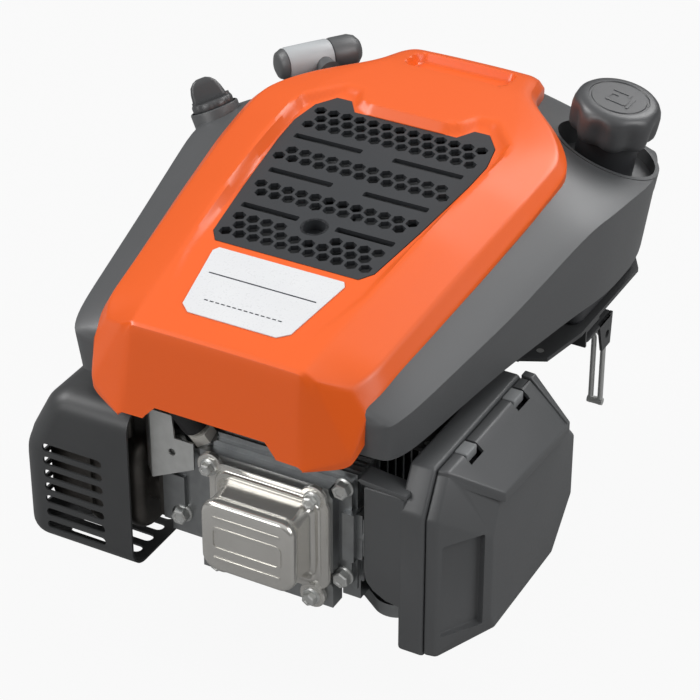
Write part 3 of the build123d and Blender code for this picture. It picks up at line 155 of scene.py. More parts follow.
def bridge(bm, rows, closed=True, caps=False):
    """Joins rows of points into a skin, each row bridged to the next."""
    loops = []
    for row in rows:
        verts = [bm.verts.new(point) for point in row]
        edges = [bm.edges.new(pair) for pair in zip(verts, verts[1:])]
        if closed:
            edges.append(bm.edges.new((verts[-1], verts[0])))
        loops.append(edges)
    for first, second in zip(loops, loops[1:]):
        bmesh.ops.bridge_loops(bm, edges=first + second)
    if caps:
        bmesh.ops.holes_fill(bm, edges=loops[0] + loops[-1], sides=0)
    bmesh.ops.recalc_face_normals(bm, faces=bm.faces)
    return bm


def prism(outline, low, high, matrix=Matrix.Identity(4)):
    """A straight solid from a plan outline in mm, between two heights, then moved by matrix."""
    bm = bmesh.new()
    face = bm.faces.new([bm.verts.new(mm(x, y, low)) for x, y in outline])
    grown = bmesh.ops.extrude_face_region(bm, geom=[face])["geom"]
    verts = [g for g in grown if isinstance(g, bmesh.types.BMVert)]
    bmesh.ops.translate(bm, verts=verts, vec=mm(0, 0, high - low))
    bmesh.ops.recalc_face_normals(bm, faces=bm.faces)
    bmesh.ops.transform(bm, matrix=matrix, verts=bm.verts)
    return bm


def rounded(width, depth, radius, steps=6, centre=(0, 0)):
    """Plan outline of a rectangle with round corners."""
    points = []
    for quarter, (sx, sy) in enumerate(((1, 1), (-1, 1), (-1, -1), (1, -1))):
        for step in range(steps + 1):
            turn = (quarter + step / steps) * pi / 2
            points.append((
                centre[0] + sx * (width / 2 - radius) + radius * cos(turn),
                centre[1] + sy * (depth / 2 - radius) + radius * sin(turn),
            ))
    return points


def lathe(profile, steps=64, matrix=Matrix.Identity(4)):
    """Spins a profile of (radius, height) in mm about Z, then moves it by matrix."""
    bm = bmesh.new()
    verts = [bm.verts.new(mm(radius, 0, height)) for radius, height in profile]
    edges = [bm.edges.new(pair) for pair in zip(verts, verts[1:])]
    bmesh.ops.spin(bm, geom=verts + edges, cent=(0, 0, 0), axis=(0, 0, 1), angle=2 * pi,
                   steps=steps, use_merge=True)
    bmesh.ops.remove_doubles(bm, verts=bm.verts, dist=MERGE_REACH)
    bmesh.ops.recalc_face_normals(bm, faces=bm.faces)
    bmesh.ops.transform(bm, matrix=matrix, verts=bm.verts)
    return bm


def aimed(point, direction, roll=0.0):
    """Matrix that stands the Z axis on a point in mm, along a direction."""
    turn = Vector(direction).to_track_quat("Z", "Y").to_matrix().to_4x4()
    return Matrix.Translation(mm(*point)) @ turn @ Matrix.Rotation(roll, 4, "Z")


def merged(*parts):
    """Several bmeshes as one."""
    whole = bmesh.new()
    for part in parts:
        mesh = bpy.data.meshes.new("part")
        part.to_mesh(mesh)
        part.free()
        whole.from_mesh(mesh)
        bpy.data.meshes.remove(mesh)
    return whole


def mirrored(outline):
    """A closed outline from its right half."""
    return list(outline) + [(-x, y) for x, y in reversed(outline)]


def hexagon(x, y, radius):
    """Six corners round a point, two of them along Y."""
    return [(x + radius * sin(radians(60 * i)), y + radius * cos(radians(60 * i))) for i in range(6)]


def depth_inside(x, y, outline):
    """Distance in mm from a point to the outline, positive inside it."""
    nearest = 1e9
    inside = False
    for (ax, ay), (bx, by) in zip(outline, outline[1:] + outline[:1]):
        run_x, run_y = bx - ax, by - ay
        share = ((x - ax) * run_x + (y - ay) * run_y) / (run_x ** 2 + run_y ** 2)
        share = min(1.0, max(0.0, share))
        nearest = min(nearest, sqrt((x - ax - share * run_x) ** 2 + (y - ay - share * run_y) ** 2))
        if (ay > y) != (by > y) and x < ax + (y - ay) / (by - ay) * run_x:
            inside = not inside
    return nearest if inside else -nearest


def cylinder(foot, direction, low, high, radius, steps=64):
    """A round bar along a direction, from low to high mm past its foot."""
    return lathe([(0, low), (radius, low), (radius, high), (0, high)], steps, aimed(foot, direction))


def box_solid(low, high):
    """A straight block between two corners in mm."""
    bm = bmesh.new()
    size = [b - a for a, b in zip(low, high)]
    middle = [(a + b) / 2 for a, b in zip(low, high)]
    bmesh.ops.create_cube(bm, size=1.0, matrix=Matrix.Translation(mm(*middle))
                          @ Matrix.Diagonal((*mm(*size), 1)))
    return bm


def side_rows(rows):
    """Outlines of (y, z) at given x, bridged into a solid and capped."""
    return bridge(bmesh.new(), [[mm(x, y, z) for y, z in outline] for x, outline in rows], caps=True)


def stacked(rows, centre_a, centre_b, depth_b, matrix):
    """Rounded rectangles (width, height, radius, depth) bridged into a solid.

    Their centre slides from centre_a at depth 0 to centre_b at depth_b.
    """
    loops = []
    for width, height, radius, depth in rows:
        share = min(1.0, depth / depth_b)
        centre = [a + (b - a) * share for a, b in zip(centre_a, centre_b)]
        loops.append([mm(x, y, depth) for x, y in rounded(width, height, radius, 8, centre)])
    bm = bridge(bmesh.new(), loops, caps=True)
    bmesh.ops.transform(bm, matrix=matrix, verts=bm.verts)
    return bm


def round_edges(bm, width, segments=3, angle=25.0):
    """Rounds the edges of a bmesh that are sharper than angle, in degrees."""
    sharp = [e for e in bm.edges if e.is_manifold and e.calc_face_angle() > radians(angle)]
    bmesh.ops.bevel(bm, geom=sharp, offset=width * MM, segments=segments, profile=0.5,
                    affect="EDGES", clamp_overlap=True, material=-1)
    return bm


def hex_bolt(point, direction, across_flats, height, collar, roll=0.0):
    """Flanged hex bolt head with a dished top, standing on a point."""
    corner = across_flats / 2 / cos(radians(30))
    head = lathe([(0, 0.6), (corner - 0.5, 0.6), (corner, 1.1), (corner, height - 0.9),
                  (corner - 0.9, height), (corner * 0.55, height), (corner * 0.45, height - 0.7),
                  (0, height - 0.7)], steps=6)
    washer = lathe([(0, 0), (collar, 0), (collar, 0.9), (collar - 1.0, 1.6), (0, 1.6)], steps=32)
    bm = merged(head, washer)
    bmesh.ops.transform(bm, matrix=aimed(point, direction, roll), verts=bm.verts)
    return bm


def between(stations, spacing):
    """Stations with straight steps added, so that none are further apart than the spacing."""
    rows = [stations[0]]
    for near, far in zip(stations, stations[1:]):
        steps = max(1, round((far[0] - near[0]) / spacing))
        for step in range(1, steps + 1):
            rows.append(tuple(a + (b - a) * step / steps for a, b in zip(near, far)))
    return rows


def crease_grid(bm, columns, value):
    """Creases the edges of a bridged grid.

    value(row, column, along) gives the weight of the edge that starts at that point of the grid and
    runs from row to row, if along, or else within its row.
    """
    layer = bm.edges.layers.float.new("crease_edge")
    bm.verts.ensure_lookup_table()
    bm.verts.index_update()
    for edge in bm.edges:
        first, second = sorted(vert.index for vert in edge.verts)
        row, column = divmod(first, columns)
        edge[layer] = value(row, column, second - first >= columns)


# ---------------------------------------------------------------------------
# Materials
# ---------------------------------------------------------------------------
def linear(code):
    """Linear RGBA from an sRGB hex value."""
    channels = [int(code[i:i + 2], 16) / 255 for i in (1, 3, 5)]
    return tuple(c / 12.92 if c <= 0.04045 else ((c + 0.055) / 1.055) ** 2.4 for c in channels) + (1.0,)


def node(tree, kind, settings=None, inputs=None, links=None):
    """Adds a node with its settings, socket values and links into its sockets."""
    made = tree.nodes.new(kind)
    for key, value in (settings or {}).items():
        setattr(made, key, value)
    for key, value in (inputs or {}).items():
        made.inputs[key].default_value = value
    for key, source in (links or {}).items():
        tree.links.new(source, made.inputs[key])
    return made


def surface(key, name, dark, light, roughness, metallic=0.0, grain=2.0, bump=0.1, stretch=(1, 1, 1),
            patch=30.0, rough_spread=0.08, **shader):
    """A moulded, cast or machined finish: patchy tone, fine grain in the bump and uneven gloss.

    It is filed under key. Its two tones are hex values or linear colours, and grain and patch are
    real sizes in millimetres.
    """
    dark, light = (linear(tone) if isinstance(tone, str) else tuple(tone) for tone in (dark, light))
    material = bpy.data.materials.new(name)
    material.use_nodes = True
    tree = material.node_tree
    tree.nodes.clear()
    coordinates = node(tree, "ShaderNodeTexCoord")
    mapping = node(tree, "ShaderNodeMapping", inputs={"Scale": stretch},
                   links={"Vector": coordinates.outputs["Object"]})
    fine = node(tree, "ShaderNodeTexNoise",
                inputs={"Scale": 1 / (grain * MM), "Detail": 3.0, "Roughness": 0.6},
                links={"Vector": mapping.outputs["Vector"]})
    broad = node(tree, "ShaderNodeTexNoise", inputs={"Scale": 1 / (patch * MM), "Detail": 2.0},
                 links={"Vector": coordinates.outputs["Object"]})
    tone = node(tree, "ShaderNodeMix", {"data_type": "RGBA"}, {"A": dark, "B": light},
                {"Factor": broad.outputs["Fac"]})
    gloss = node(tree, "ShaderNodeMapRange",
                 inputs={"To Min": roughness - rough_spread, "To Max": roughness + rough_spread},
                 links={"Value": fine.outputs["Fac"]})
    relief = node(tree, "ShaderNodeBump", inputs={"Strength": bump, "Distance": grain * 0.1 * MM},
                  links={"Height": fine.outputs["Fac"]})
    finish = node(tree, "ShaderNodeBsdfPrincipled", inputs={"Metallic": metallic, **shader}, links={
        "Base Color": tone.outputs[2], "Roughness": gloss.outputs["Result"],
        "Normal": relief.outputs["Normal"]})
    node(tree, "ShaderNodeOutputMaterial", links={"Surface": finish.outputs["BSDF"]})
    MATERIALS[key] = material


def mix_materials(colours):
    """Every finish on the engine, filed under its material slot, and three that share a slot."""
    # ABS, injection-moulded in signal orange: even, semi-gloss, with a faint orange peel
    surface("orange_shell", "moulded_abs", colours.cover_deep, colours.cover_pale, 0.36,
            grain=1.4, bump=0.05, patch=80, rough_spread=0.03,
            **{"Specular IOR Level": 0.35, "Coat Weight": 0.5, "Coat Roughness": 0.35})
    # Glass-filled nylon from a spark-eroded mould: an even grain that spreads the highlights
    surface("black_plastic", "glass_filled_nylon", colours.housing_deep, colours.housing_pale, 0.46,
            grain=1.2, bump=0.22, patch=60, rough_spread=0.06, **{"Specular IOR Level": 0.85})
    # Polypropylene, moulded nearly black: satin, so that the grille's cells read as dark
    surface("grille_black", "moulded_polypropylene", "#2B2D30", "#313336", 0.52,
            grain=1.2, bump=0.15, patch=40)
    # Polyester label film: pale, smooth, slightly silky
    surface("label_film", "polyester_film", "#D4D5D7", "#DBDCDD", 0.28,
            grain=1.5, bump=0.02, patch=30, rough_spread=0.03)
    # Printed ink on the label: flat dark grey
    surface("label_ink", "printed_ink", "#2C2F38", "#30333C", 0.4,
            grain=1.5, bump=0.02, patch=30, rough_spread=0.03)
    # Nylon of the cap and the dipstick, textured in the mould: dark grey with a soft sheen
    surface("cap_plastic", "textured_nylon", "#38393B", "#3E3F41", 0.42,
            grain=1.2, bump=0.18, patch=25, **{"Specular IOR Level": 0.9})
    # Polypropylene sleeve of the starter grip: light grey, satin
    surface("grey_plastic", "grey_polypropylene", "#A9ACAE", "#B6B9BB", 0.45,
            grain=1.5, bump=0.08, patch=25)
    # Nylon of the air cleaner's snap tabs: mid grey, dull
    surface("clip_plastic", "grey_nylon", "#7E8082", "#868889", 0.5, grain=1.2, bump=0.1, patch=15)
    # Electro-coated sheet steel: black, satin, smooth
    surface("black_paint", "electrocoated_steel", "#38393A", "#3F4041", 0.42,
            grain=1.6, bump=0.06, patch=30)
    # Aluminised steel: warm grey, stained by heat
    surface("muffler_steel", "aluminised_steel", "#4A4744", "#6A6763", 0.42,
            metallic=0.8, grain=2.0, bump=0.12, patch=14)
    # Blow-moulded polyethylene of the tank: dull and slightly wavy
    surface("tank_plastic", "blown_polyethylene", "#2A2B2D", "#303134", 0.5,
            grain=2.0, bump=0.2, patch=30)
    # Die-cast aluminium: pale grey with a sandy skin that glints
    surface("cast_aluminium", "die_cast_aluminium", "#8C8E8F", "#A8AAAB", 0.4,
            metallic=1.0, grain=1.3, bump=0.35, patch=9, rough_spread=0.1)
    # Turned and ground steel: cold grey with fine streaks
    surface("machined_steel", "ground_steel", "#8E9093", "#A8AAAD", 0.26,
            metallic=1.0, grain=0.9, bump=0.06, patch=12, stretch=(1, 1, 6))
    # Zinc-plated steel: bright, faintly blotchy
    surface("zinc_steel", "zinc_plated_steel", "#C2C3C1", "#DADBD9", 0.36,
            metallic=0.75, grain=1.5, bump=0.06, patch=7)
    # Sand-cast grey iron: dark, rough, with a dull glint
    surface("cast_iron", "sand_cast_iron", "#4B4C4E", "#5B5C5E", 0.5,
            metallic=0.7, grain=1.4, bump=0.4, patch=12)
    # Sintered bronze: warm yellow, finely porous
    surface("bearing_metal", "sintered_bronze", "#9A7B45", "#B08C50", 0.36,
            metallic=1.0, grain=0.9, bump=0.08, patch=8)
    # Nitrile rubber: black and matt
    surface("seal_rubber", "nitrile_rubber", "#1D1D1E", "#232324", 0.62, grain=1.2, bump=0.12, patch=12)
    # Oiled polyurethane foam: dark, matt, with open cells
    surface("filter_foam", "polyurethane_foam", "#3B3B3A", "#4C4B49", 0.9, grain=1.6, bump=0.9, patch=10)
    # Braided polyester rope: off-white, matt, with a strong weave
    surface("rope_fibre", "braided_polyester", "#B9B7AE", "#CFCDC4", 0.8, grain=1.2, bump=0.6, patch=6)
    # Glazed alumina of the spark plug: white and glossy
    surface("ceramic_white", "glazed_alumina", "#DAD7CF", "#E4E2DB", 0.18,
            grain=2.0, bump=0.02, patch=12)
    # Epoxy potting of the ignition coil: black, smooth, half gloss
    surface("coil_resin", "potted_epoxy", "#1F2022", "#282A2C", 0.3, grain=1.5, bump=0.05, patch=10)
    # Bright-dipped and tumbled aluminium of the valve cover: mirror-like with soft waves
    surface("bright_cover", "tumbled_aluminium", "#D3D1CC", "#DEDCD7", 0.22,
            metallic=0.8, grain=3.0, bump=0.07, patch=14, rough_spread=0.05)


def dress_nodes():
    """Gives every CAD node the finish of its slot."""
    for entry in frame["record"]["subparts"]:
        piece = frame["nodes"][entry["node"]]
        piece.data.materials.clear()
        piece.data.materials.append(MATERIALS[entry["material_slot"]])


# ---------------------------------------------------------------------------
# Sizes and colours
# ---------------------------------------------------------------------------
class CoverSizes(bpy.types.PropertyGroup):
    """Sizes of the moulded top cover, blower housing and grille."""
    wall: bpy.props.FloatProperty(
        name="Wall", description="Wall thickness of the mouldings",
        default=0.0026, min=0.0015, max=0.004, precision=4, unit="LENGTH")
    honeycomb: bpy.props.FloatProperty(
        name="Honeycomb", description="Pitch of the grille's cells",
        default=0.010, min=0.006, precision=4, unit="LENGTH")


class TrimSizes(bpy.types.PropertyGroup):
    """Sizes of the fuel cap and the starter grip."""
    cap_radius: bpy.props.FloatProperty(
        name="Cap radius", description="Outer radius of the fuel cap",
        default=0.030, min=0.027, precision=4, unit="LENGTH")
    cap_grips: bpy.props.IntProperty(
        name="Cap grips", description="Scallops round the fuel cap", default=8, min=6)
    grip_radius: bpy.props.FloatProperty(
        name="Grip radius", description="Radius of the starter grip",
        default=0.0118, min=0.010, precision=4, unit="LENGTH")


def tone_property(name, description, code):
    """A colour property with a hex default."""
    return bpy.props.FloatVectorProperty(
        name=name, description=description, default=linear(code), size=4, min=0, max=1, subtype="COLOR")


class CoverColours(bpy.types.PropertyGroup):
    """The two tones that each moulded colour drifts between."""
    cover_deep: tone_property("Cover, deep", "Deeper tone of the top cover", "#E75A0B")
    cover_pale: tone_property("Cover, pale", "Paler tone of the top cover", "#EA5E0D")
    housing_deep: tone_property("Housing, deep", "Deeper tone of the dark mouldings", "#484A4B")
    housing_pale: tone_property("Housing, pale", "Paler tone of the dark mouldings", "#4E4F51")


# ---------------------------------------------------------------------------
# Top cover, grille and label
# ---------------------------------------------------------------------------
# Stations of the top cover, front to back: y, half width at the lip, height of the lip's foot and
# edge, half width and height of the shoulder, half width and height of the top
COVER_STATIONS = (
    (-200.0, 66, 148, 149.0, 64, 150.0, 60, 151),
    (-190.0, 87, 151, 156.0, 66, 197.0, 59, 210),
    (-187.0, 93, 154, 160.0, 68, 206.5, 60, 211.5),
    (-176.0, 96.5, 164, 183, 86, 200, 61, 214),
    (-163.0, 99.5, 178, 193, 93, 205, 62, 217),
    (-50.0, 111, 204, 218, 103, 228, 70, 241),
    (10.0, 116, 216, 231, 108, 239, 74, 249.5),
    (50.0, 117.5, 223, 238, 110, 245, 76, 252.4),
    (68.0, 116, 226, 241, 109, 247.5, 75, 253),
    (93.0, 97, 231, 246, 91, 250.5, 66, 253.4),
    (128.0, 62, 230, 246.5, 58, 251.5, 50, 253.6),
    (158.0, 55, 226, 243, 51, 248, 43, 250.5),
    (168.0, 52, 224, 239, 48, 244, 40, 246),
    (170.0, 50, 224, 232, 46, 235, 38, 237),
)
COVER_STEP = 17.0
COVER_CREASES = {1: 0.75, 2: 0.7, 4: 0.4}
BROW_Y = -188.0
CHEEK_Y = -176.0
# Right halves of plan outlines, front to back
GRILLE_OUTLINE = (
    (51, -103), (57.5, -94), (64, -45), (70, 12), (71, 36), (67, 57), (57, 70), (46, 70), (38, 59),
)
# Rim of the sunk panel that the grille and the label lie in
PANEL_RIM = (
    (34, -176), (52, -172), (66, -118), (71, -60), (77, 0), (80, 44), (78, 58), (57, 83), (43, 81),
    (36, 68), (27, 64),
)
PANEL_WALL = 7.0
PANEL_BREAK_Z = 226.9
# Lifting recess behind the panel
POCKET_RIM = ((34, 128), (39, 133), (39, 150), (34, 155.5))
POCKET_WALL = 4.5
POCKET_FLOOR = 245.5
# Notch in the nose, seen from the front as (x, z)
NOSE_NOTCH = ((49, 140), (47, 152), (39, 160.5), (-39, 160.5), (-47, 152), (-49, 140))
GRILLE_SLOPE = 0.1238
GRILLE_CLEARANCE = 1.006
LABEL_SLOPE = 0.166
LABEL_REAR_Y = -103.0
LABEL_FRONT_Y = -170.0


def panel_height(y):
    """Height in mm of the sunk panel's floor at y."""
    slope = GRILLE_SLOPE if y > LABEL_REAR_Y else LABEL_SLOPE
    return PANEL_BREAK_Z + (y - LABEL_REAR_Y) * slope


def grille_matrix():
    """Plane of the grille, with its origin on the centre line at y = 0."""
    return Matrix.Translation(mm(0, 0, panel_height(0))) @ Matrix.Rotation(atan(GRILLE_SLOPE), 4, "X")


def label_matrix():
    """Plane of the label, with its origin at the label's rear edge."""
    rear = mm(0, LABEL_REAR_Y, panel_height(LABEL_REAR_Y))
    return Matrix.Translation(rear) @ Matrix.Rotation(atan(LABEL_SLOPE), 4, "X")


def sink(bm, rim, wall, floor):
    """Sinks what lies inside the rim to the floor's height, down a wall of the given width."""
    reach_x = max(x for x, y in rim)
    low_y = min(y for x, y in rim)
    high_y = max(y for x, y in rim)
    for vert in bm.verts:
        x, y, z = (c / MM for c in vert.co)
        if abs(x) < reach_x and low_y < y < high_y and z > floor(y):
            share = min(1.0, max(0.0, depth_inside(x, y, rim) / wall))
            share = share * share * (3 - 2 * share)
            vert.co.z += (floor(y) - z) * share * MM


def cover_row(station):
    """Cross-section of the top cover, from the right lip over the top to the left lip."""
    y, edge, low, edge_z, shoulder, shoulder_z, top, top_z = station
    half = [
        (edge - 0.6, low), (edge, edge_z), (shoulder, shoulder_z),
        ((shoulder + top) / 2, (shoulder_z + top_z) / 2 + 0.6), (top, top_z), (top * 0.75, top_z + 0.3),
        (top * 0.5, top_z + 0.5), (top * 0.25, top_z + 0.6),
    ]
    right = [mm(x, y, z) for x, z in half]
    left = [mm(-x, y, z) for x, z in reversed(half)]
    return right + [mm(0, y, top_z + 0.6)] + left


class ENGINE_OT_top_cover(bpy.types.Operator):
    """Moulds the orange top cover with its sunk panel, nose notch and lifting recess"""
    bl_idname = "engine.top_cover"
    bl_label = "Top cover"

    def execute(self, context):
        wall = in_mm(context.scene.engine_covers.wall)
        stations = between(COVER_STATIONS, COVER_STEP)
        rows = [cover_row(station) for station in stations]
        bm = bridge(bmesh.new(), rows, closed=False)
        last = len(rows[0]) - 1

        def weight(row, column, along):
            """Crease of an edge: along the cover on its bends, and across it at the brow."""
            bend = min(column, last - column)
            y = stations[row][0]
            if along:
                return 0.95 if bend == 2 and y < BROW_Y else COVER_CREASES.get(bend, 0.0)
            crossing = min(column, last - 1 - column)
            if y < BROW_Y - 8:
                return 0.0
            if y < BROW_Y + 3:
                return 0.8 if crossing > 1 else 0.3
            return 0.6 if abs(y - CHEEK_Y) < 1 and crossing == 1 else 0.0

        crease_grid(bm, last + 1, weight)
        if sum(f.normal.z for f in bm.faces) < 0:
            bmesh.ops.reverse_faces(bm, faces=bm.faces)
        bm = settled(bm, ("SUBSURF", {"levels": 3, "render_levels": 3,
                                      "boundary_smooth": "PRESERVE_CORNERS"}))
        sink(bm, mirrored(PANEL_RIM), PANEL_WALL, panel_height)
        sink(bm, mirrored(POCKET_RIM), POCKET_WALL, lambda y: POCKET_FLOOR)
        bm = settled(bm, ("SOLIDIFY", {"thickness": wall * MM, "offset": -1.0,
                                       "use_quality_normals": True}))
        opening = prism([(x * GRILLE_CLEARANCE, y) for x, y in mirrored(GRILLE_OUTLINE)], -30, 40,
                        grille_matrix())
        notch = prism(NOSE_NOTCH, 170, 230, FACE_TURN)
        place(cut(bm, opening, notch), "orange_cover", "orange_shell",
              replaces=("top_cover",), smooth=32)
        return {"FINISHED"}


# Bands of cells: y of the middle and number of rows
CELL_BANDS = ((43, 3), (-1, 2), (-42, 2), (-83, 3))
CELL_COLUMNS = range(-7, 8)
# Radius of a cell and distance of two rows as shares of the pitch, and the rim left round the cells
CELL_SHARE = 0.455
ROW_SHARE = 0.87
CELL_MARGIN = 1.6
# Slots between the bands, on both sides: y, and x where they start and end
GRILLE_SLOTS = ((19.5, 11.5, 62.0), (-21.5, 11.5, 58.0), (-62.5, 13.5, 55.0))
SLOT_WIDTH = 5.2
# Place of the screw well, and the radius that the cells keep clear for it
SCREW_WELL_Y = -66.0
WELL_RADIUS = 9.5
LABEL_DASHES = 14
DASH_PITCH = 4.0


class ENGINE_OT_grille(bpy.types.Operator):
    """Moulds the honeycomb grille with its slots and screw well, and lays the blank label"""
    bl_idname = "engine.grille"
    bl_label = "Grille and label"

    def execute(self, context):
        pitch = in_mm(context.scene.engine_covers.honeycomb)
        radius = pitch * CELL_SHARE
        outline = mirrored(GRILLE_OUTLINE)
        plate = prism(outline, -3.0, 0.4)
        holes = []
        for middle, count in CELL_BANDS:
            for row in range(count):
                y = middle + (row - (count - 1) / 2) * pitch * ROW_SHARE
                shift = pitch / 2 if row % 2 else 0.0
                for column in CELL_COLUMNS:
                    x = column * pitch + shift
                    from_rim = depth_inside(x, y, outline) - CELL_MARGIN
                    from_well = sqrt(x * x + (y - SCREW_WELL_Y) ** 2) - WELL_RADIUS
                    if from_rim > radius and from_well > radius:
                        holes.append(prism(hexagon(x, y, radius), -5, 3))
        for y, inner, outer in GRILLE_SLOTS:
            for side in (-1, 1):
                middle = side * (inner + outer) / 2
                holes.append(prism(rounded(outer - inner, SLOT_WIDTH, 1.2, 3, (middle, y)), -5, 3))
        plate = cut(plate, merged(*holes), prism(rounded(15, 15, 7.49, 8, (0, SCREW_WELL_Y)), -5, 3))
        well = lathe([(7.5, 0.4), (9.2, 0.4), (9.2, -9), (0, -9), (0, -7.6), (7.5, -7.6), (7.5, 0.4)],
                     steps=48, matrix=Matrix.Translation(mm(0, SCREW_WELL_Y, 0)))
        grille = merged(plate, well)
        bmesh.ops.transform(grille, matrix=grille_matrix(), verts=grille.verts)
        place(grille, "honeycomb_grille", "grille_black", replaces=("grille_insert",), smooth=30)

        shape = mirrored(((31, LABEL_FRONT_Y), (38, LABEL_FRONT_Y + 6), (47, LABEL_REAR_Y - 9),
                          (44.5, LABEL_REAR_Y - 5)))
        label = prism([(x, y - LABEL_REAR_Y) for x, y in shape], 0.1, 0.7, label_matrix())
        place(label, "blank_label", "label_film", replaces=("label_plate",), smooth=30)
        marks = [prism(rounded(76, 0.9, 0.3, 3, (0, -29)), 0.6, 0.85, label_matrix())]
        for step in range(LABEL_DASHES):
            x = (step - (LABEL_DASHES - 1) / 2) * DASH_PITCH
            marks.append(prism(rounded(2.6, 0.8, 0.2, 3, (x, -53)), 0.6, 0.85, label_matrix()))
        place(merged(*marks), "label_rule", "label_film", smooth=0, material="label_ink")
        return {"FINISHED"}


# ---------------------------------------------------------------------------
# Blower housing and fuel cap
# ---------------------------------------------------------------------------
# Stations of the blower housing, front to back: y, half widths of the foot, the crease and the
# crown, each left and right, and the heights of the foot, the crease and the crown
HOUSING_STATIONS = (
    (-178.0, 103, 103, 107, 107, 88, 88, 157, 178, 186),
    (-174.0, 109, 109, 114, 114, 90, 90, 154, 182, 190),
    (-158.0, 115, 115, 120, 120, 92, 92, 152, 186, 198),
    (-60.0, 129, 129, 136, 136, 100, 100, 158, 201, 219),
    (34.0, 142, 142, 149, 149, 106, 106, 156, 221, 236),
    (64.0, 141, 145, 148, 152.4, 104, 104, 152, 219, 240),
    (92.0, 137, 145, 144, 153, 88, 90, 150, 217, 241),
    (136.0, 112, 143, 118, 152, 56, 56, 148, 208, 240),
    (176.0, 66, 128, 70, 136, 44, 46, 150, 206, 231),
    (185.0, 56, 121, 60, 127, 40, 42, 152, 202, 225),
    (188.0, 50, 112, 54, 118, 38, 40, 154, 198, 220),
)
HOUSING_STEP = 30.0
HOUSING_CREASES = {2: 0.75, 4: 0.6}
# Of the points of the end sections, only the two feet lie lower
FOOT_CEILING = 165.0
FILLER_DIRECTION = (sin(radians(10)), 0, cos(radians(10)))
FILLER_BASE = (108, 137, 196)
DIPSTICK_FOOT = Vector((-64, 38, 62))
DIPSTICK_HEAD = Vector((-147, 57, 224))
DIPSTICK_WAY = (DIPSTICK_HEAD - DIPSTICK_FOOT).normalized()
GRIP_CENTRE = Vector((-109, 136, 238))
GRIP_LENGTH = 64.0
GRIP_ROOM = 4.0
# The way that the rope leaves the housing, towards its grip
ROPE_WAY = Vector((-0.806361, 0.578245, 0.124156))
GRIP_AXIS = Vector((ROPE_WAY.y, -ROPE_WAY.x, 0)).normalized()


def housing_row(station):
    """Cross-section of the blower housing, from the right foot over the top to the left foot."""
    y, foot_l, foot_r, crease_l, crease_r, crown_l, crown_r, foot_z, crease_z, crown_z = station

    def side(foot, crease, crown):
        """One half as (x, z): foot, crease, crown and the flange under the top cover."""
        return (
            (foot, foot_z), (foot + (crease - foot) * 0.5, (foot_z + crease_z) / 2),
            (crease, crease_z), ((crease + crown) / 2, (crease_z + crown_z) / 2 + 0.8),
            (crown, crown_z), (crown - 9, crown_z - 6),
        )

    right = [mm(x, y, z) for x, z in side(foot_r, crease_r, crown_r)]
    left = [mm(-x, y, z) for x, z in reversed(side(foot_l, crease_l, crown_l))]
    return right + left


class ENGINE_OT_housing(bpy.types.Operator):
    """Moulds the dark blower housing with its filler well, dipstick boss and grip pocket"""
    bl_idname = "engine.housing"
    bl_label = "Blower housing"

    def execute(self, context):
        wall = in_mm(context.scene.engine_covers.wall)
        stations = between(HOUSING_STATIONS, HOUSING_STEP)
        rows = [housing_row(station) for station in stations]
        bm = bridge(bmesh.new(), rows, closed=False)
        last = len(rows[0]) - 1
        crease_grid(bm, last + 1, lambda row, column, along:
                    HOUSING_CREASES.get(min(column, last - column), 0.0) if along else 0.0)
        if sum(f.normal.z for f in bm.faces) < 0:
            bmesh.ops.reverse_faces(bm, faces=bm.faces)
        for wall_y in (stations[0][0], stations[-1][0]):
            loop = [v for v in bm.verts if abs(v.co.y - wall_y * MM) < MERGE_REACH]
            feet = sorted((v for v in loop if v.co.z < FOOT_CEILING * MM), key=lambda v: v.co.x)
            closing = bm.edges.new((feet[0], feet[-1]))
            edges = {e for v in loop for e in v.link_edges if e.other_vert(v) in loop and e.is_boundary}
            bmesh.ops.holes_fill(bm, edges=list(edges | {closing}), sides=0)
        bmesh.ops.recalc_face_normals(bm, faces=bm.faces)
        envelope = bmesh.new()
        bridge(envelope, rows, closed=True, caps=True)
        bm = settled(
            bm,
            ("SUBSURF", {"levels": 2, "render_levels": 2, "boundary_smooth": "PRESERVE_CORNERS"}),
            ("SOLIDIFY", {"thickness": wall * MM, "offset": -1.0, "use_quality_normals": True}))
        reach = GRIP_LENGTH / 2 + GRIP_ROOM
        bm = cut(
            bm,
            cylinder(FILLER_BASE, FILLER_DIRECTION, 5, 80, 35.5, 72),
            cylinder(DIPSTICK_HEAD, DIPSTICK_WAY, -70, -20, 11.6),
            cylinder(DIPSTICK_HEAD, DIPSTICK_WAY, -25, 20, 16.4),
            cylinder(GRIP_CENTRE, GRIP_AXIS, -reach, reach, 14.0),
            cylinder(GRIP_CENTRE, ROPE_WAY, -17, 60, 13.5),
        )
        well = cut(lathe([(15, 5), (38, 5), (38, 70), (35, 70), (35, 8), (15, 8), (15, 5)], 96,
                         aimed(FILLER_BASE, FILLER_DIRECTION)), envelope, operation="INTERSECT")
        boss = lathe([(11, -26), (17.2, -26), (17.2, 0.4), (16.9, 1.2), (16.3, 1.5), (15.8, 1.1),
                      (15.7, -6.6), (11, -7.2), (11, -26)], 64, aimed(DIPSTICK_HEAD, DIPSTICK_WAY))
        place(merged(bm, well, boss), "blower_shell", "black_plastic",
              replaces=("blower_housing",), smooth=30)
        return {"FINISHED"}


# Height of the cap above the filler's base, depth of its scallops, and foot and top of its sign
CAP_SEAT = 40.0
SCALLOP_DEPTH = 3.4
SIGN_FOOT = 26.1
SIGN_TOP = 26.7


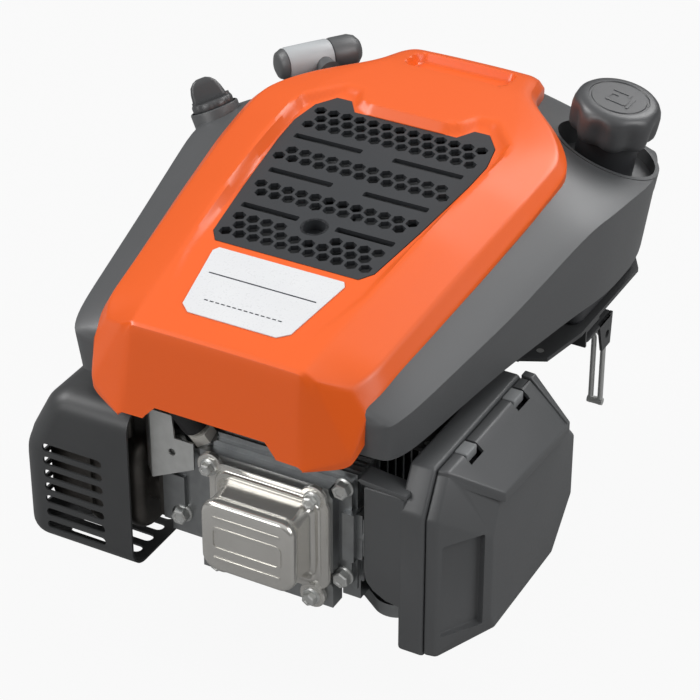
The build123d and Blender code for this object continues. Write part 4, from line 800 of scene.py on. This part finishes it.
class ENGINE_OT_fuel_cap(bpy.types.Operator):
    """Turns the scalloped fuel cap with its ring and pump sign"""
    bl_idname = "engine.fuel_cap"
    bl_label = "Fuel cap"

    def execute(self, context):
        trim = context.scene.engine_trim
        radius = in_mm(trim.cap_radius)
        profile = [
            (0, 26.2), (18.6, 26.2), (19.0, 25.5), (20.4, 25.5), (20.8, 26.2), (23.5, 26.1),
            (26.0, 25.2), (28.0, 23.4), (29.4, 20.6), (radius, 17), (radius, 13), (radius - 0.1, 9),
            (radius - 0.4, 5), (radius - 1.0, 2), (radius - 2.4, 0), (24, 0), (24, 6), (0, 6),
        ]
        cap = lathe(profile, steps=160)
        for vert in cap.verts:
            reach = sqrt(vert.co.x ** 2 + vert.co.y ** 2)
            if reach > 25.5 * MM:
                turn = atan2(vert.co.y, vert.co.x) * trim.cap_grips
                share = min(1.0, max(0.0, (24.0 - vert.co.z / MM) / 12.0))
                dip = SCALLOP_DEPTH * MM * share * (0.5 + 0.5 * cos(turn)) ** 1.3
                vert.co.x *= 1 - dip / reach
                vert.co.y *= 1 - dip / reach
        # A generic pump sign: its body with a window, its hose, the link between them and its foot
        body, hose, link, foot = (
            prism(rounded(width, depth, corner, centre=centre), SIGN_FOOT, SIGN_TOP)
            for width, depth, corner, centre in (
                (11, 15, 1.5, (-2.5, 0)), (2.2, 12, 1.0, (7.2, 1.5)), (6, 2, 0.9, (5.2, -5.2)),
                (15, 2.2, 1.0, (-2.5, -9))))
        body = cut(body, prism(rounded(7, 5, 0.8, centre=(-2.5, 3.2)), 25.9, 28))
        whole = merged(cap, body, hose, link, foot)
        seat = aimed(Vector(FILLER_BASE) + Vector(FILLER_DIRECTION) * CAP_SEAT, FILLER_DIRECTION)
        bmesh.ops.transform(whole, matrix=seat, verts=whole.verts)
        place(whole, "scalloped_cap", "cap_plastic", "tank_cap", ("fuel_cap",), smooth=35)
        return {"FINISHED"}


# ---------------------------------------------------------------------------
# Valve cover
# ---------------------------------------------------------------------------
# Centres of the valve cover's face and rim, as (x, z)
VALVE_FACE = (27.75, 81.5)
VALVE_RIM = (27.0, 76.5)
HEAD_FRONT = -172.0
LOBES = ((-15, 111), (59, 111), (58, 36), (-9, 39))
LOBE_HEIGHT = 4.3
# Sections of the cover from its rim to its face: width, height, corner radius and depth
VALVE_COVER_ROWS = (
    (85, 73, 10, 0), (86, 74, 10.5, 1.0), (86, 74, 10.5, 3.2), (85, 73, 10, 4.0), (78, 67, 9, 4.1),
    (76, 65, 9, 4.6), (75, 64, 9, 6.0), (73.5, 62.5, 8.5, 6.7), (71, 60, 8, 6.6), (68.5, 57, 7.5, 5.6),
    (65, 53.5, 7, 7.2), (63, 52, 7, 10), (62, 51, 7.5, 15), (62, 50.6, 8, 22), (63, 50.6, 9, 24.2),
    (65, 51.6, 10, 25.4), (66, 52.4, 10.5, 27), (66, 52.4, 10.5, 29.6), (65, 51.4, 10, 31.4),
    (63, 49.4, 9.4, 32.5), (60, 46.4, 8.6, 32.9),
)
RIB_FOOT = 32.2
RIB_TOP = 33.5


class ENGINE_OT_valve_cover(bpy.types.Operator):
    """Presses the bright valve cover with its rolled rim, pinched neck, ribs and bolts"""
    bl_idname = "engine.valve_cover"
    bl_label = "Valve cover"

    def execute(self, context):
        seat = Matrix.Translation(mm(0, HEAD_FRONT, 0)) @ FACE_TURN
        shell = stacked(VALVE_COVER_ROWS, VALVE_RIM, VALVE_FACE, 9.0, seat)
        lobe = [(0, 0), (8.6, 0), (9, 0.4), (9, 3.6), (8.4, 4.2), (6.6, 4.4), (0, 4.4)]
        lobes = [lathe(lobe, 40, aimed((x, HEAD_FRONT, z), (0, -1, 0))) for x, z in LOBES]
        x, z = VALVE_FACE
        ribs = [prism(rounded(48, 1.5, 0.7, 5, (x, z + side * 15.5)), RIB_FOOT, RIB_TOP, seat)
                for side in (1, -1)]
        field = cut(prism(rounded(50, 17, 4.0, 6, (x, z)), RIB_FOOT, RIB_TOP, seat),
                    prism(rounded(47, 14, 2.8, 6, (x, z)), 31, 35, seat))
        place(merged(shell, *lobes, *ribs, field), "bright_valve_cover", "cast_aluminium",
              replaces=("valve_cover",), smooth=38, material="bright_cover")
        heads = [hex_bolt((x, HEAD_FRONT - LOBE_HEIGHT, z), (0, -1, 0), 8, 6.2, 6.0, radians(12 * i))
                 for i, (x, z) in enumerate(LOBES)]
        place(merged(*heads), "cover_bolts", "zinc_steel", replaces=("valve_cover_bolts",), smooth=30)
        return {"FINISHED"}


# ---------------------------------------------------------------------------
# Air cleaner
# ---------------------------------------------------------------------------
# Outlines of the base, the lid's joint and the lid's panel as (y, z), counted the same way round
BASE_OUTLINE = (
    (-167, 9), (-167, 116), (-152, 143), (-33, 143), (-8, 112), (-8, 40), (-46, 6), (-163, 5.5),
)
JOINT_OUTLINE = (
    (-165, 9), (-165, 113), (-151, 139), (-33, 139), (-9.5, 111), (-9.5, 41), (-47, 6.5), (-162, 6.5),
)
PANEL_OUTLINE = (
    (-131, 27), (-131, 88), (-123, 113), (-29, 109), (-9.5, 92), (-9.5, 46), (-37, 15), (-124, 13),
)
# Outlines of the lid's brow and strap at their stations along x
BROW_ROWS = (
    (131.9, ((-151, 132), (-151, 141.5), (-33.4, 141.5), (-33.4, 132))),
    (139.0, ((-150, 132), (-150, 141.5), (-33.4, 141.5), (-33.4, 132))),
    (165.2, ((-123, 110.5), (-123, 118.5), (-29, 113), (-29, 105.5))),
)
STRAP_ROWS = (
    (132.0, ((-33, 139), (-33, 143), (-26.5, 143), (-26.5, 131))),
    (139.4, ((-33, 139), (-33, 142.6), (-26.5, 142.6), (-26.5, 131))),
    (164.6, ((-31, 108), (-31, 115.6), (-25.5, 112.8), (-25.5, 104))),
)
REAR_NOTCH = ((-26, 0), (-12, 34), (0, 34), (0, 0))
# The screen and its lip seen from the front as (x, z), and the recess seen from above as (x, y)
SCREEN_OUTLINE = (
    (89.5, 60), (89.5, 125.5), (117, 125.5), (117, 40), (105, 42), (96, 47), (91.5, 52.5),
)
LIP_OUTLINE = ((85.5, 128.6), (87, 130.4), (119, 127.6), (119, 124.4), (88, 126.6))
RECESS_OUTLINE = ((143.4, -163.1), (160.1, -137), (153.4, -132.7), (138.5, -158))
CLIP_STEPS = (-121.0, -54.0)


def shrunk(outline):
    """The inside of an air cleaner outline, which leaves its wall."""
    return [(y * 0.9 - 8.5, z * 0.88 + 9) for y, z in outline]


def clip_windows():
    """Blocks that open a window for each snap tab."""
    return [box_solid((129, y - 8.5, 128), (144.5, y + 8.5, 150)) for y in CLIP_STEPS]


class ENGINE_OT_air_cleaner(bpy.types.Operator):
    """Moulds the air cleaner: base with its screen, and the clipped lid with a stepped panel"""
    bl_idname = "engine.air_cleaner"
    bl_label = "Air cleaner"

    def execute(self, context):
        body = round_edges(side_rows(((114, BASE_OUTLINE), (131, BASE_OUTLINE))), 2.0)
        body = cut(body, side_rows(((117, shrunk(BASE_OUTLINE)), (135, shrunk(BASE_OUTLINE)))))
        screen = round_edges(prism(SCREEN_OUTLINE, 152, 167, FACE_TURN), 1.6, 3, 40)
        lip = round_edges(prism(LIP_OUTLINE, 151.6, 167.2, FACE_TURN), 0.5, 2, 40)
        place(merged(body, screen, lip), "cleaner_base", "black_plastic",
              replaces=("air_filter_base",), smooth=35)
        pin = cylinder((84, -162, 91), (1, 0.02, -0.04), 0, 21, 2.0, 24)
        place(pin, "cleaner_pin", "zinc_steel", smooth=35)

        flange = [(y + (1.2 if y < -80 else -0.3), z) for y, z in JOINT_OUTLINE]
        lid = side_rows(((131.4, JOINT_OUTLINE), (139, flange), (161.5, PANEL_OUTLINE)))
        round_edges(lid, 1.5, 3, 12)
        inner = side_rows(((131, shrunk(JOINT_OUTLINE)), (154.5, shrunk(PANEL_OUTLINE))))
        recess = round_edges(prism(RECESS_OUTLINE, 23, 93), 1.2, 2, 30)
        rear_notch = side_rows(((131, REAR_NOTCH), (170, REAR_NOTCH)))
        lid = cut(lid, inner, *clip_windows(), recess, rear_notch)
        brow = cut(round_edges(side_rows(BROW_ROWS), 1.2, 3, 12), *clip_windows())
        lid = cut(lid, brow, operation="UNION")
        strap = round_edges(side_rows(STRAP_ROWS), 0.8, 2, 30)
        place(merged(lid, strap), "cleaner_lid", "black_plastic", "filter_lid",
              ("air_filter_cover",), smooth=35)

        tabs = [round_edges(box_solid((131.6, y - 7.0, 134.5), (140.6, y + 7.0, 141.6)), 1.0, 3, 40)
                for y in CLIP_STEPS]
        place(merged(*tabs), "cleaner_clips", "grey_plastic", smooth=35, material="clip_plastic")
        return {"FINISHED"}


# ---------------------------------------------------------------------------
# Trim, springs, bracket and guard
# ---------------------------------------------------------------------------
HEAD_BOLTS = ((-43, 58), (-43, 112), (75, 50), (75, 118))
HEAD_FLANGE = 8.0
# The folded shield seen from above as (x, y), and the corners cut off it seen from the front
SHIELD_FOLD = (
    (-68, -165.4), (-58.6, -175), (-27, -175), (-27, -173.6), (-58, -173.6), (-66.9, -164.6),
    (-66.2, -159), (-52.4, -137), (-53.6, -137), (-67.6, -158.6),
)
SHIELD_BELOW = ((-58, 80), (-58, 88), (-26, 104), (-20, 104), (-20, 80))
SHIELD_ABOVE = ((-43, 150), (-41, 123), (-20, 123), (-20, 150))


class ENGINE_OT_head_trim(bpy.types.Operator):
    """Folds the bright heat shield and sets the hex head bolts"""
    bl_idname = "engine.head_trim"
    bl_label = "Head trim"

    def execute(self, context):
        fold = prism(SHIELD_FOLD, 88, 140)
        below = prism(SHIELD_BELOW, 173, 176, FACE_TURN)
        above = prism(SHIELD_ABOVE, 173, 176, FACE_TURN)
        hole = cylinder((-43, -180, 112), (0, 1, 0), 0, 8, 2.6, 24)
        place(cut(fold, below, above, hole), "folded_shield", "zinc_steel",
              replaces=("heat_shield",), smooth=20)
        seat_y = HEAD_FRONT + HEAD_FLANGE
        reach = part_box("head_bolts")[1][1] / MM - seat_y
        bolts = []
        for i, (x, z) in enumerate(HEAD_BOLTS):
            bolts.append(hex_bolt((x, seat_y, z), (0, -1, 0), 10, 7.5, 6.6, radians(17 * i)))
            bolts.append(cylinder((x, seat_y, z), (0, 1, 0), 0, reach, 4.0, 32))
        place(merged(*bolts), "flanged_head_bolts", "zinc_steel", replaces=("head_bolts",), smooth=30)
        return {"FINISHED"}


SPRING_WIRE = 1.1
SPRING_TURNS = 4
SPRING_STEPS = 28
WIRE_SIDES = 10


class ENGINE_OT_valve_springs(bpy.types.Operator):
    """Winds the two valve springs"""
    bl_idname = "engine.valve_springs"
    bl_label = "Valve springs"

    def execute(self, context):
        along = Vector((0, 1, 0))
        steps = SPRING_TURNS * SPRING_STEPS
        for name, hidden, joint in (("inlet_coil", "intake_spring", "inlet_valve_lift"),
                                    ("outlet_coil", "exhaust_spring", "outlet_valve_lift")):
            low, high = [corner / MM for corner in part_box(hidden)]
            seat = Vector(((low.x + high.x) / 2, high.y, (low.z + high.z) / 2))
            radius = (high.z - low.z) / 2 - SPRING_WIRE
            rise = (high.y - low.y - 2 * SPRING_WIRE) / steps
            rows = []
            for step in range(steps + 1):
                turn = 2 * pi * step / SPRING_STEPS
                out = Vector((cos(turn), 0, sin(turn)))
                heart = seat + out * radius - along * (SPRING_WIRE + rise * step)
                sides = [2 * pi * side / WIRE_SIDES for side in range(WIRE_SIDES)]
                rows.append([(heart + SPRING_WIRE * (out * cos(side) + along * sin(side))) * MM
                             for side in sides])
            coil = place(bridge(bmesh.new(), rows, caps=True), name, "machined_steel",
                         replaces=(hidden,), smooth=60)
            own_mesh(coil)
        return {"FINISHED"}


BRACKET_SHEET = 2.0
BRACKET_SHELF_Z = 122.0
EAR_DROP = 24.0


class ENGINE_OT_bracket(bpy.types.Operator):
    """Folds the black speed-control bracket under the rear of the housing"""
    bl_idname = "engine.bracket"
    bl_label = "Control bracket"

    def execute(self, context):
        low, high = [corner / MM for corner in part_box("control_bracket")]
        shelf_z = BRACKET_SHELF_Z
        # The shelf and the top flange start behind the front plate
        behind = low.y + BRACKET_SHEET
        front = prism(((low.x, low.z), (low.x + 12, low.z), (low.x + 24, shelf_z - 4),
                       (high.x, shelf_z - 4), (high.x, high.z), (low.x, high.z)),
                      -behind, -low.y, FACE_TURN)
        shelf = prism(rounded(high.x - low.x, high.y - behind, 4, 5,
                              ((low.x + high.x) / 2, (behind + high.y) / 2)),
                      shelf_z - BRACKET_SHEET, shelf_z)
        side = ((high.y, shelf_z), (high.y - 22, shelf_z), (high.y - 15, shelf_z - EAR_DROP),
                (high.y - 2, shelf_z - EAR_DROP))
        ear = side_rows(((high.x - BRACKET_SHEET, side), (high.x, side)))
        top = box_solid((low.x, behind, high.z - BRACKET_SHEET), (high.x, behind + 20, high.z))
        pivot = cylinder((108, 84, shelf_z - 3), (0, 0, 1), 0, 4, 3.3, 32)
        eye = cylinder((high.x - 6, 90, shelf_z - 14), (1, 0, 0), 0, 9, 3.0, 32)
        place(merged(cut(shelf, pivot), cut(ear, eye), front, top), "folded_bracket", "black_paint",
              replaces=("control_bracket",), smooth=30)
        return {"FINISHED"}


# The guard seen from the front, as (x, z), and where it runs along y
GUARD_OUTLINE = ((-67, 18.5), (-151, 18.5), (-151, 94), (-127, 139.5), (-67, 139.5))
GUARD_FRONT = -190.0
GUARD_REAR = -104.0
GUARD_CORNER = 15.0
GUARD_SHEET = 1.6
# Slots of the guard: height of the lowest row, the pitch of the rows and the slots' width
SLOT_FOOT_Z = 34.5
SLOT_PITCH = 10.2
GUARD_SLOT = 6.2
# Where the side's columns of slots stand, as distances ahead of the shaft
SIDE_COLUMNS = (125, 154)
FLOOR_PITCH = 13.6


class ENGINE_OT_guard(bpy.types.Operator):
    """Draws the slotted muffler guard, open towards the engine"""
    bl_idname = "engine.guard"
    bl_label = "Muffler guard"

    def execute(self, context):
        bm = prism(GUARD_OUTLINE, -GUARD_REAR, -GUARD_FRONT, FACE_TURN)
        open_faces = [f for f in bm.faces if f.normal.x > 0.9 or f.normal.y > 0.9]
        bmesh.ops.delete(bm, geom=open_faces, context="FACES")
        bends = [e for e in bm.edges if not e.is_boundary]
        bmesh.ops.bevel(bm, geom=bends, offset=GUARD_CORNER * MM, segments=8, profile=0.5,
                        affect="EDGES", clamp_overlap=True, material=-1)
        bmesh.ops.recalc_face_normals(bm, faces=bm.faces)
        bm = settled(bm, ("SOLIDIFY", {"thickness": GUARD_SHEET * MM, "offset": -1.0}))
        slots = []
        for row in range(7):
            z = SLOT_FOOT_Z + row * SLOT_PITCH
            slots.append(prism(rounded(45, GUARD_SLOT, 2.9, 4, (-110, z)), 150, 200, FACE_TURN))
            # The slope leaves room for one row fewer on the side
            for ahead in SIDE_COLUMNS if row < 6 else ():
                slots.append(prism(rounded(24, GUARD_SLOT, 2.9, 4, (ahead, z)), 130, 160, SIDE_TURN))
        for row in range(5):
            slots.append(prism(rounded(54, 8, 3.8, 5, (-101, -169 + row * FLOOR_PITCH)), 10, 30))
        place(cut(bm, merged(*slots)), "slotted_guard", "black_paint",
              replaces=("muffler_guard",), smooth=35)
        return {"FINISHED"}


# ---------------------------------------------------------------------------
# Dipstick and starter grip
# ---------------------------------------------------------------------------
TAB_TURN = radians(-38)
DISC_NOTCHES = 8
NOTCH_SHARE = 0.06
# Sections of the thumb tab from foot to tip: width, thickness, corner radius and height
TAB_ROWS = (
    (25, 7.0, 3, 5), (24, 6.4, 2.9, 9), (22, 5.8, 2.6, 14), (18.5, 5.2, 2.4, 18.5),
    (13, 4.6, 2.1, 21.4), (7, 3.4, 1.6, 22.8),
)
STRIP_PAST_FOOT = 30.0


class ENGINE_OT_dipstick(bpy.types.Operator):
    """Moulds the dipstick's notched disc with its thumb tab, over the steel strip"""
    bl_idname = "engine.dipstick"
    bl_label = "Dipstick"

    def execute(self, context):
        turn = aimed(DIPSTICK_HEAD, DIPSTICK_WAY, TAB_TURN)
        disc = lathe([(0, 0.2), (12.5, 0.2), (14.6, 1.0), (15, 2.2), (15, 5.0), (14.2, 6.4),
                      (12.8, 6.9), (12, 6.5), (0, 6.5)], steps=96)
        for vert in disc.verts:
            reach = sqrt(vert.co.x ** 2 + vert.co.y ** 2)
            if reach > 12.4 * MM:
                notch = (0.5 + 0.5 * cos(DISC_NOTCHES * atan2(vert.co.y, vert.co.x))) ** 3
                vert.co.x *= 1 - NOTCH_SHARE * notch
                vert.co.y *= 1 - NOTCH_SHARE * notch
        tab = stacked(TAB_ROWS, (0, 0), (1.5, 0), 20.0, Matrix.Identity(4))
        root = prism(rounded(27, 10, 3, 5), 5.5, 8.2)
        plug = lathe([(0, -14), (6.2, -14), (6.6, -13), (6.6, 0.4), (0, 0.4)], steps=32)
        strip_length = (DIPSTICK_HEAD - DIPSTICK_FOOT).length + STRIP_PAST_FOOT
        strip = prism(rounded(5.4, 1.8, 0.7, 3), -strip_length, -10)
        knob = merged(disc, tab, root, plug)
        bmesh.ops.transform(knob, matrix=turn, verts=knob.verts)
        bmesh.ops.transform(strip, matrix=turn, verts=strip.verts)
        place(knob, "dipstick_knob", "cap_plastic", "dipstick", ("oil_dipstick",), smooth=40)
        place(strip, "dipstick_strip", "zinc_steel", "dipstick", smooth=40)
        return {"FINISHED"}


class ENGINE_OT_starter_grip(bpy.types.Operator):
    """Moulds the starter grip: a pale sleeve and a dark end on a dark core"""
    bl_idname = "engine.starter_grip"
    bl_label = "Starter grip"

    def execute(self, context):
        radius = in_mm(context.scene.engine_trim.grip_radius)
        turn = aimed(GRIP_CENTRE, GRIP_AXIS)
        half = GRIP_LENGTH / 2
        sleeve = lathe([(radius - 2, -half + 6), (radius - 0.8, -half + 6.4), (radius, -half + 8),
                        (radius + 0.1, -6), (radius, 7), (radius - 0.8, 8.4), (radius - 2, 8.6),
                        (radius - 2, -half + 6)], steps=48)
        ends = lathe([(0, -half), (6, -half), (9.4, -half + 1.6), (radius - 0.4, -half + 5.6),
                      (radius - 2.2, -half + 6), (radius - 2.2, 8.6), (radius - 0.4, 9),
                      (radius + 0.1, 11), (radius + 0.1, half - 8), (radius - 1.4, half - 3.6),
                      (7.5, half - 0.8), (4, half), (0, half)], steps=48)
        neck = lathe([(0, 2), (5.4, 2), (6.2, 6), (6.8, 14), (8.2, 20), (0, 20)], steps=32)
        bmesh.ops.transform(neck, matrix=aimed(GRIP_CENTRE, -ROPE_WAY), verts=neck.verts)
        for bm in (sleeve, ends):
            bmesh.ops.transform(bm, matrix=turn, verts=bm.verts)
        place(sleeve, "grip_sleeve", "grey_plastic", "pull_grip", ("starter_handle",), smooth=40)
        place(merged(ends, neck), "grip_ends", "black_plastic", "pull_grip", smooth=40)
        return {"FINISHED"}


# ---------------------------------------------------------------------------
# Finishes and stage
# ---------------------------------------------------------------------------
class ENGINE_OT_finishes(bpy.types.Operator):
    """Mixes the finishes and gives each fixed or moving solid its own"""
    bl_idname = "engine.finishes"
    bl_label = "Finishes"

    def execute(self, context):
        mix_materials(context.scene.engine_colours)
        dress_nodes()
        return {"FINISHED"}


FLOOR_HALF = 6.0
# Grey of the dome by height; the ramp's own stops stay black at its foot and white overhead
DOME_STOPS = ((0.0, "#6A6A6A"), (0.35, "#8E8E8E"), (0.62, "#E0E0E0"))
# Lamps: name, place and side in metres, power in watts, all aimed at the engine's middle
LAMPS = (
    ("key", (-1.9, -0.7, 1.9), 1.0, 33.0),
    ("fill", (1.9, 0.0, 1.2), 1.2, 19.0),
    ("front", (-0.9, -2.1, 1.0), 1.0, 15.0),
    ("rim", (0.4, 1.6, 1.6), 1.0, 18.0),
)
LAMP_TARGET = Vector((0, 0, 0.12))
WHITE = (1, 1, 1, 1)
CAMERA_SPOT = (0.6967, -1.3068, 1.0501)
CAMERA_TURN = radians(28.4)
CAMERA_RISE = radians(32.6)
CAMERA_LENS = 133.7142857
SENSOR_WIDTH = 36


class ENGINE_OT_stage(bpy.types.Operator):
    """Sets the pale floor, soft lamps and camera"""
    bl_idname = "engine.stage"
    bl_label = "Stage"

    def execute(self, context):
        context.scene.view_settings.view_transform = "Standard"
        self.lay_floor(context.scene)
        self.light_world(context.scene)
        self.hang_lamps(context.scene)
        self.aim_camera(context.scene)
        return {"FINISHED"}

    def lay_floor(self, scene):
        """A floor that shows white to the camera and gives the engine a grey bounce."""
        floor = bmesh.new()
        bmesh.ops.create_grid(floor, x_segments=1, y_segments=1, size=FLOOR_HALF)
        bmesh.ops.translate(floor, verts=floor.verts, vec=(0, 0, CAD_BOX[0][2]))
        mesh = bpy.data.meshes.new("floor")
        floor.to_mesh(mesh)
        floor.free()
        plane = bpy.data.objects.new("floor", mesh)
        scene.collection.objects.link(plane)
        material = bpy.data.materials.new("studio_paper")
        material.use_nodes = True
        tree = material.node_tree
        tree.nodes.clear()
        path = node(tree, "ShaderNodeLightPath")
        diffuse = node(tree, "ShaderNodeBsdfDiffuse", inputs={"Color": linear("#8E8E8E")})
        glow = node(tree, "ShaderNodeEmission", inputs={"Color": WHITE, "Strength": 1.0})
        # The camera sees nearly all glow, and the rest keeps a faint shadow
        share = node(tree, "ShaderNodeMath", {"operation": "MULTIPLY"}, {1: 0.93},
                     {0: path.outputs["Is Camera Ray"]})
        paper = node(tree, "ShaderNodeMixShader", links={
            0: share.outputs[0], 1: diffuse.outputs["BSDF"], 2: glow.outputs["Emission"]})
        node(tree, "ShaderNodeOutputMaterial", links={"Surface": paper.outputs["Shader"]})
        mesh.materials.append(material)

    def light_world(self, scene):
        """A white background to the camera, and a soft dome to everything else."""
        world = bpy.data.worlds.new("studio")
        scene.world = world
        world.use_nodes = True
        tree = world.node_tree
        tree.nodes.clear()
        path = node(tree, "ShaderNodeLightPath")
        sky = node(tree, "ShaderNodeTexCoord")
        height = node(tree, "ShaderNodeSeparateXYZ", links={"Vector": sky.outputs["Generated"]})
        dome = node(tree, "ShaderNodeValToRGB", links={"Fac": height.outputs["Z"]})
        for level, code in DOME_STOPS:
            dome.color_ramp.elements.new(level).color = linear(code)
        soft = node(tree, "ShaderNodeBackground", inputs={"Strength": 0.72},
                    links={"Color": dome.outputs["Color"]})
        white = node(tree, "ShaderNodeBackground", inputs={"Color": WHITE, "Strength": 1.0})
        seen = node(tree, "ShaderNodeMixShader", links={
            0: path.outputs["Is Camera Ray"], 1: soft.outputs["Background"],
            2: white.outputs["Background"]})
        node(tree, "ShaderNodeOutputWorld", links={"Surface": seen.outputs["Shader"]})

    def hang_lamps(self, scene):
        """Square soft lamps round the engine."""
        for name, spot, side, power in LAMPS:
            lamp = bpy.data.lights.new(name, "AREA")
            lamp.shape = "SQUARE"
            lamp.size = side
            lamp.energy = power
            holder = bpy.data.objects.new(name, lamp)
            holder.location = spot
            holder.rotation_euler = (LAMP_TARGET - Vector(spot)).to_track_quat("-Z", "Y").to_euler()
            scene.collection.objects.link(holder)

    def aim_camera(self, scene):
        """The camera in front of the engine, above it and to its right."""
        back = Vector((sin(CAMERA_TURN) * cos(CAMERA_RISE), -cos(CAMERA_TURN) * cos(CAMERA_RISE),
                       sin(CAMERA_RISE)))
        camera = bpy.data.cameras.new("camera")
        camera.lens = CAMERA_LENS
        camera.sensor_width = SENSOR_WIDTH
        camera.clip_end = 20
        seat = bpy.data.objects.new("camera", camera)
        seat.location = CAMERA_SPOT
        seat.rotation_euler = (-back).to_track_quat("-Z", "Y").to_euler()
        scene.collection.objects.link(seat)
        scene.camera = seat


# ---------------------------------------------------------------------------
# Panel and registration
# ---------------------------------------------------------------------------
class ENGINE_PT_panel(bpy.types.Panel):
    """Lists the engine's sizes, colours and pieces"""
    bl_idname = "ENGINE_PT_panel"
    bl_label = "Engine"
    bl_space_type = "VIEW_3D"
    bl_region_type = "UI"
    bl_category = "Engine"

    def draw(self, context):
        for attribute, group in GROUPS.items():
            for name in group.__annotations__:
                self.layout.prop(getattr(context.scene, attribute), name)
        for operator in OPERATORS:
            self.layout.operator(operator.bl_idname)


OPERATORS = (
    ENGINE_OT_finishes,
    ENGINE_OT_top_cover,
    ENGINE_OT_grille,
    ENGINE_OT_housing,
    ENGINE_OT_fuel_cap,
    ENGINE_OT_valve_cover,
    ENGINE_OT_air_cleaner,
    ENGINE_OT_head_trim,
    ENGINE_OT_bracket,
    ENGINE_OT_valve_springs,
    ENGINE_OT_guard,
    ENGINE_OT_dipstick,
    ENGINE_OT_starter_grip,
    ENGINE_OT_stage,
)
# Property groups by the scene attribute that holds each
GROUPS = {"engine_covers": CoverSizes, "engine_trim": TrimSizes, "engine_colours": CoverColours}
CLASSES = (*GROUPS.values(), *OPERATORS, ENGINE_PT_panel)


def register():
    """Registers the classes and hangs the property groups on the scene."""
    for cls in CLASSES:
        bpy.utils.register_class(cls)
    for attribute, group in GROUPS.items():
        setattr(bpy.types.Scene, attribute, bpy.props.PointerProperty(type=group))


def unregister():
    """Undoes what register did."""
    for attribute in GROUPS:
        delattr(bpy.types.Scene, attribute)
    for cls in reversed(CLASSES):
        bpy.utils.unregister_class(cls)


def main():
    """Builds every piece in order."""
    register()
    for operator in OPERATORS:
        group, name = operator.bl_idname.split(".")
        if getattr(getattr(bpy.ops, group), name)() != {"FINISHED"}:
            raise RuntimeError(operator.bl_idname + " did not finish")


if __name__ == "__main__":
    main()
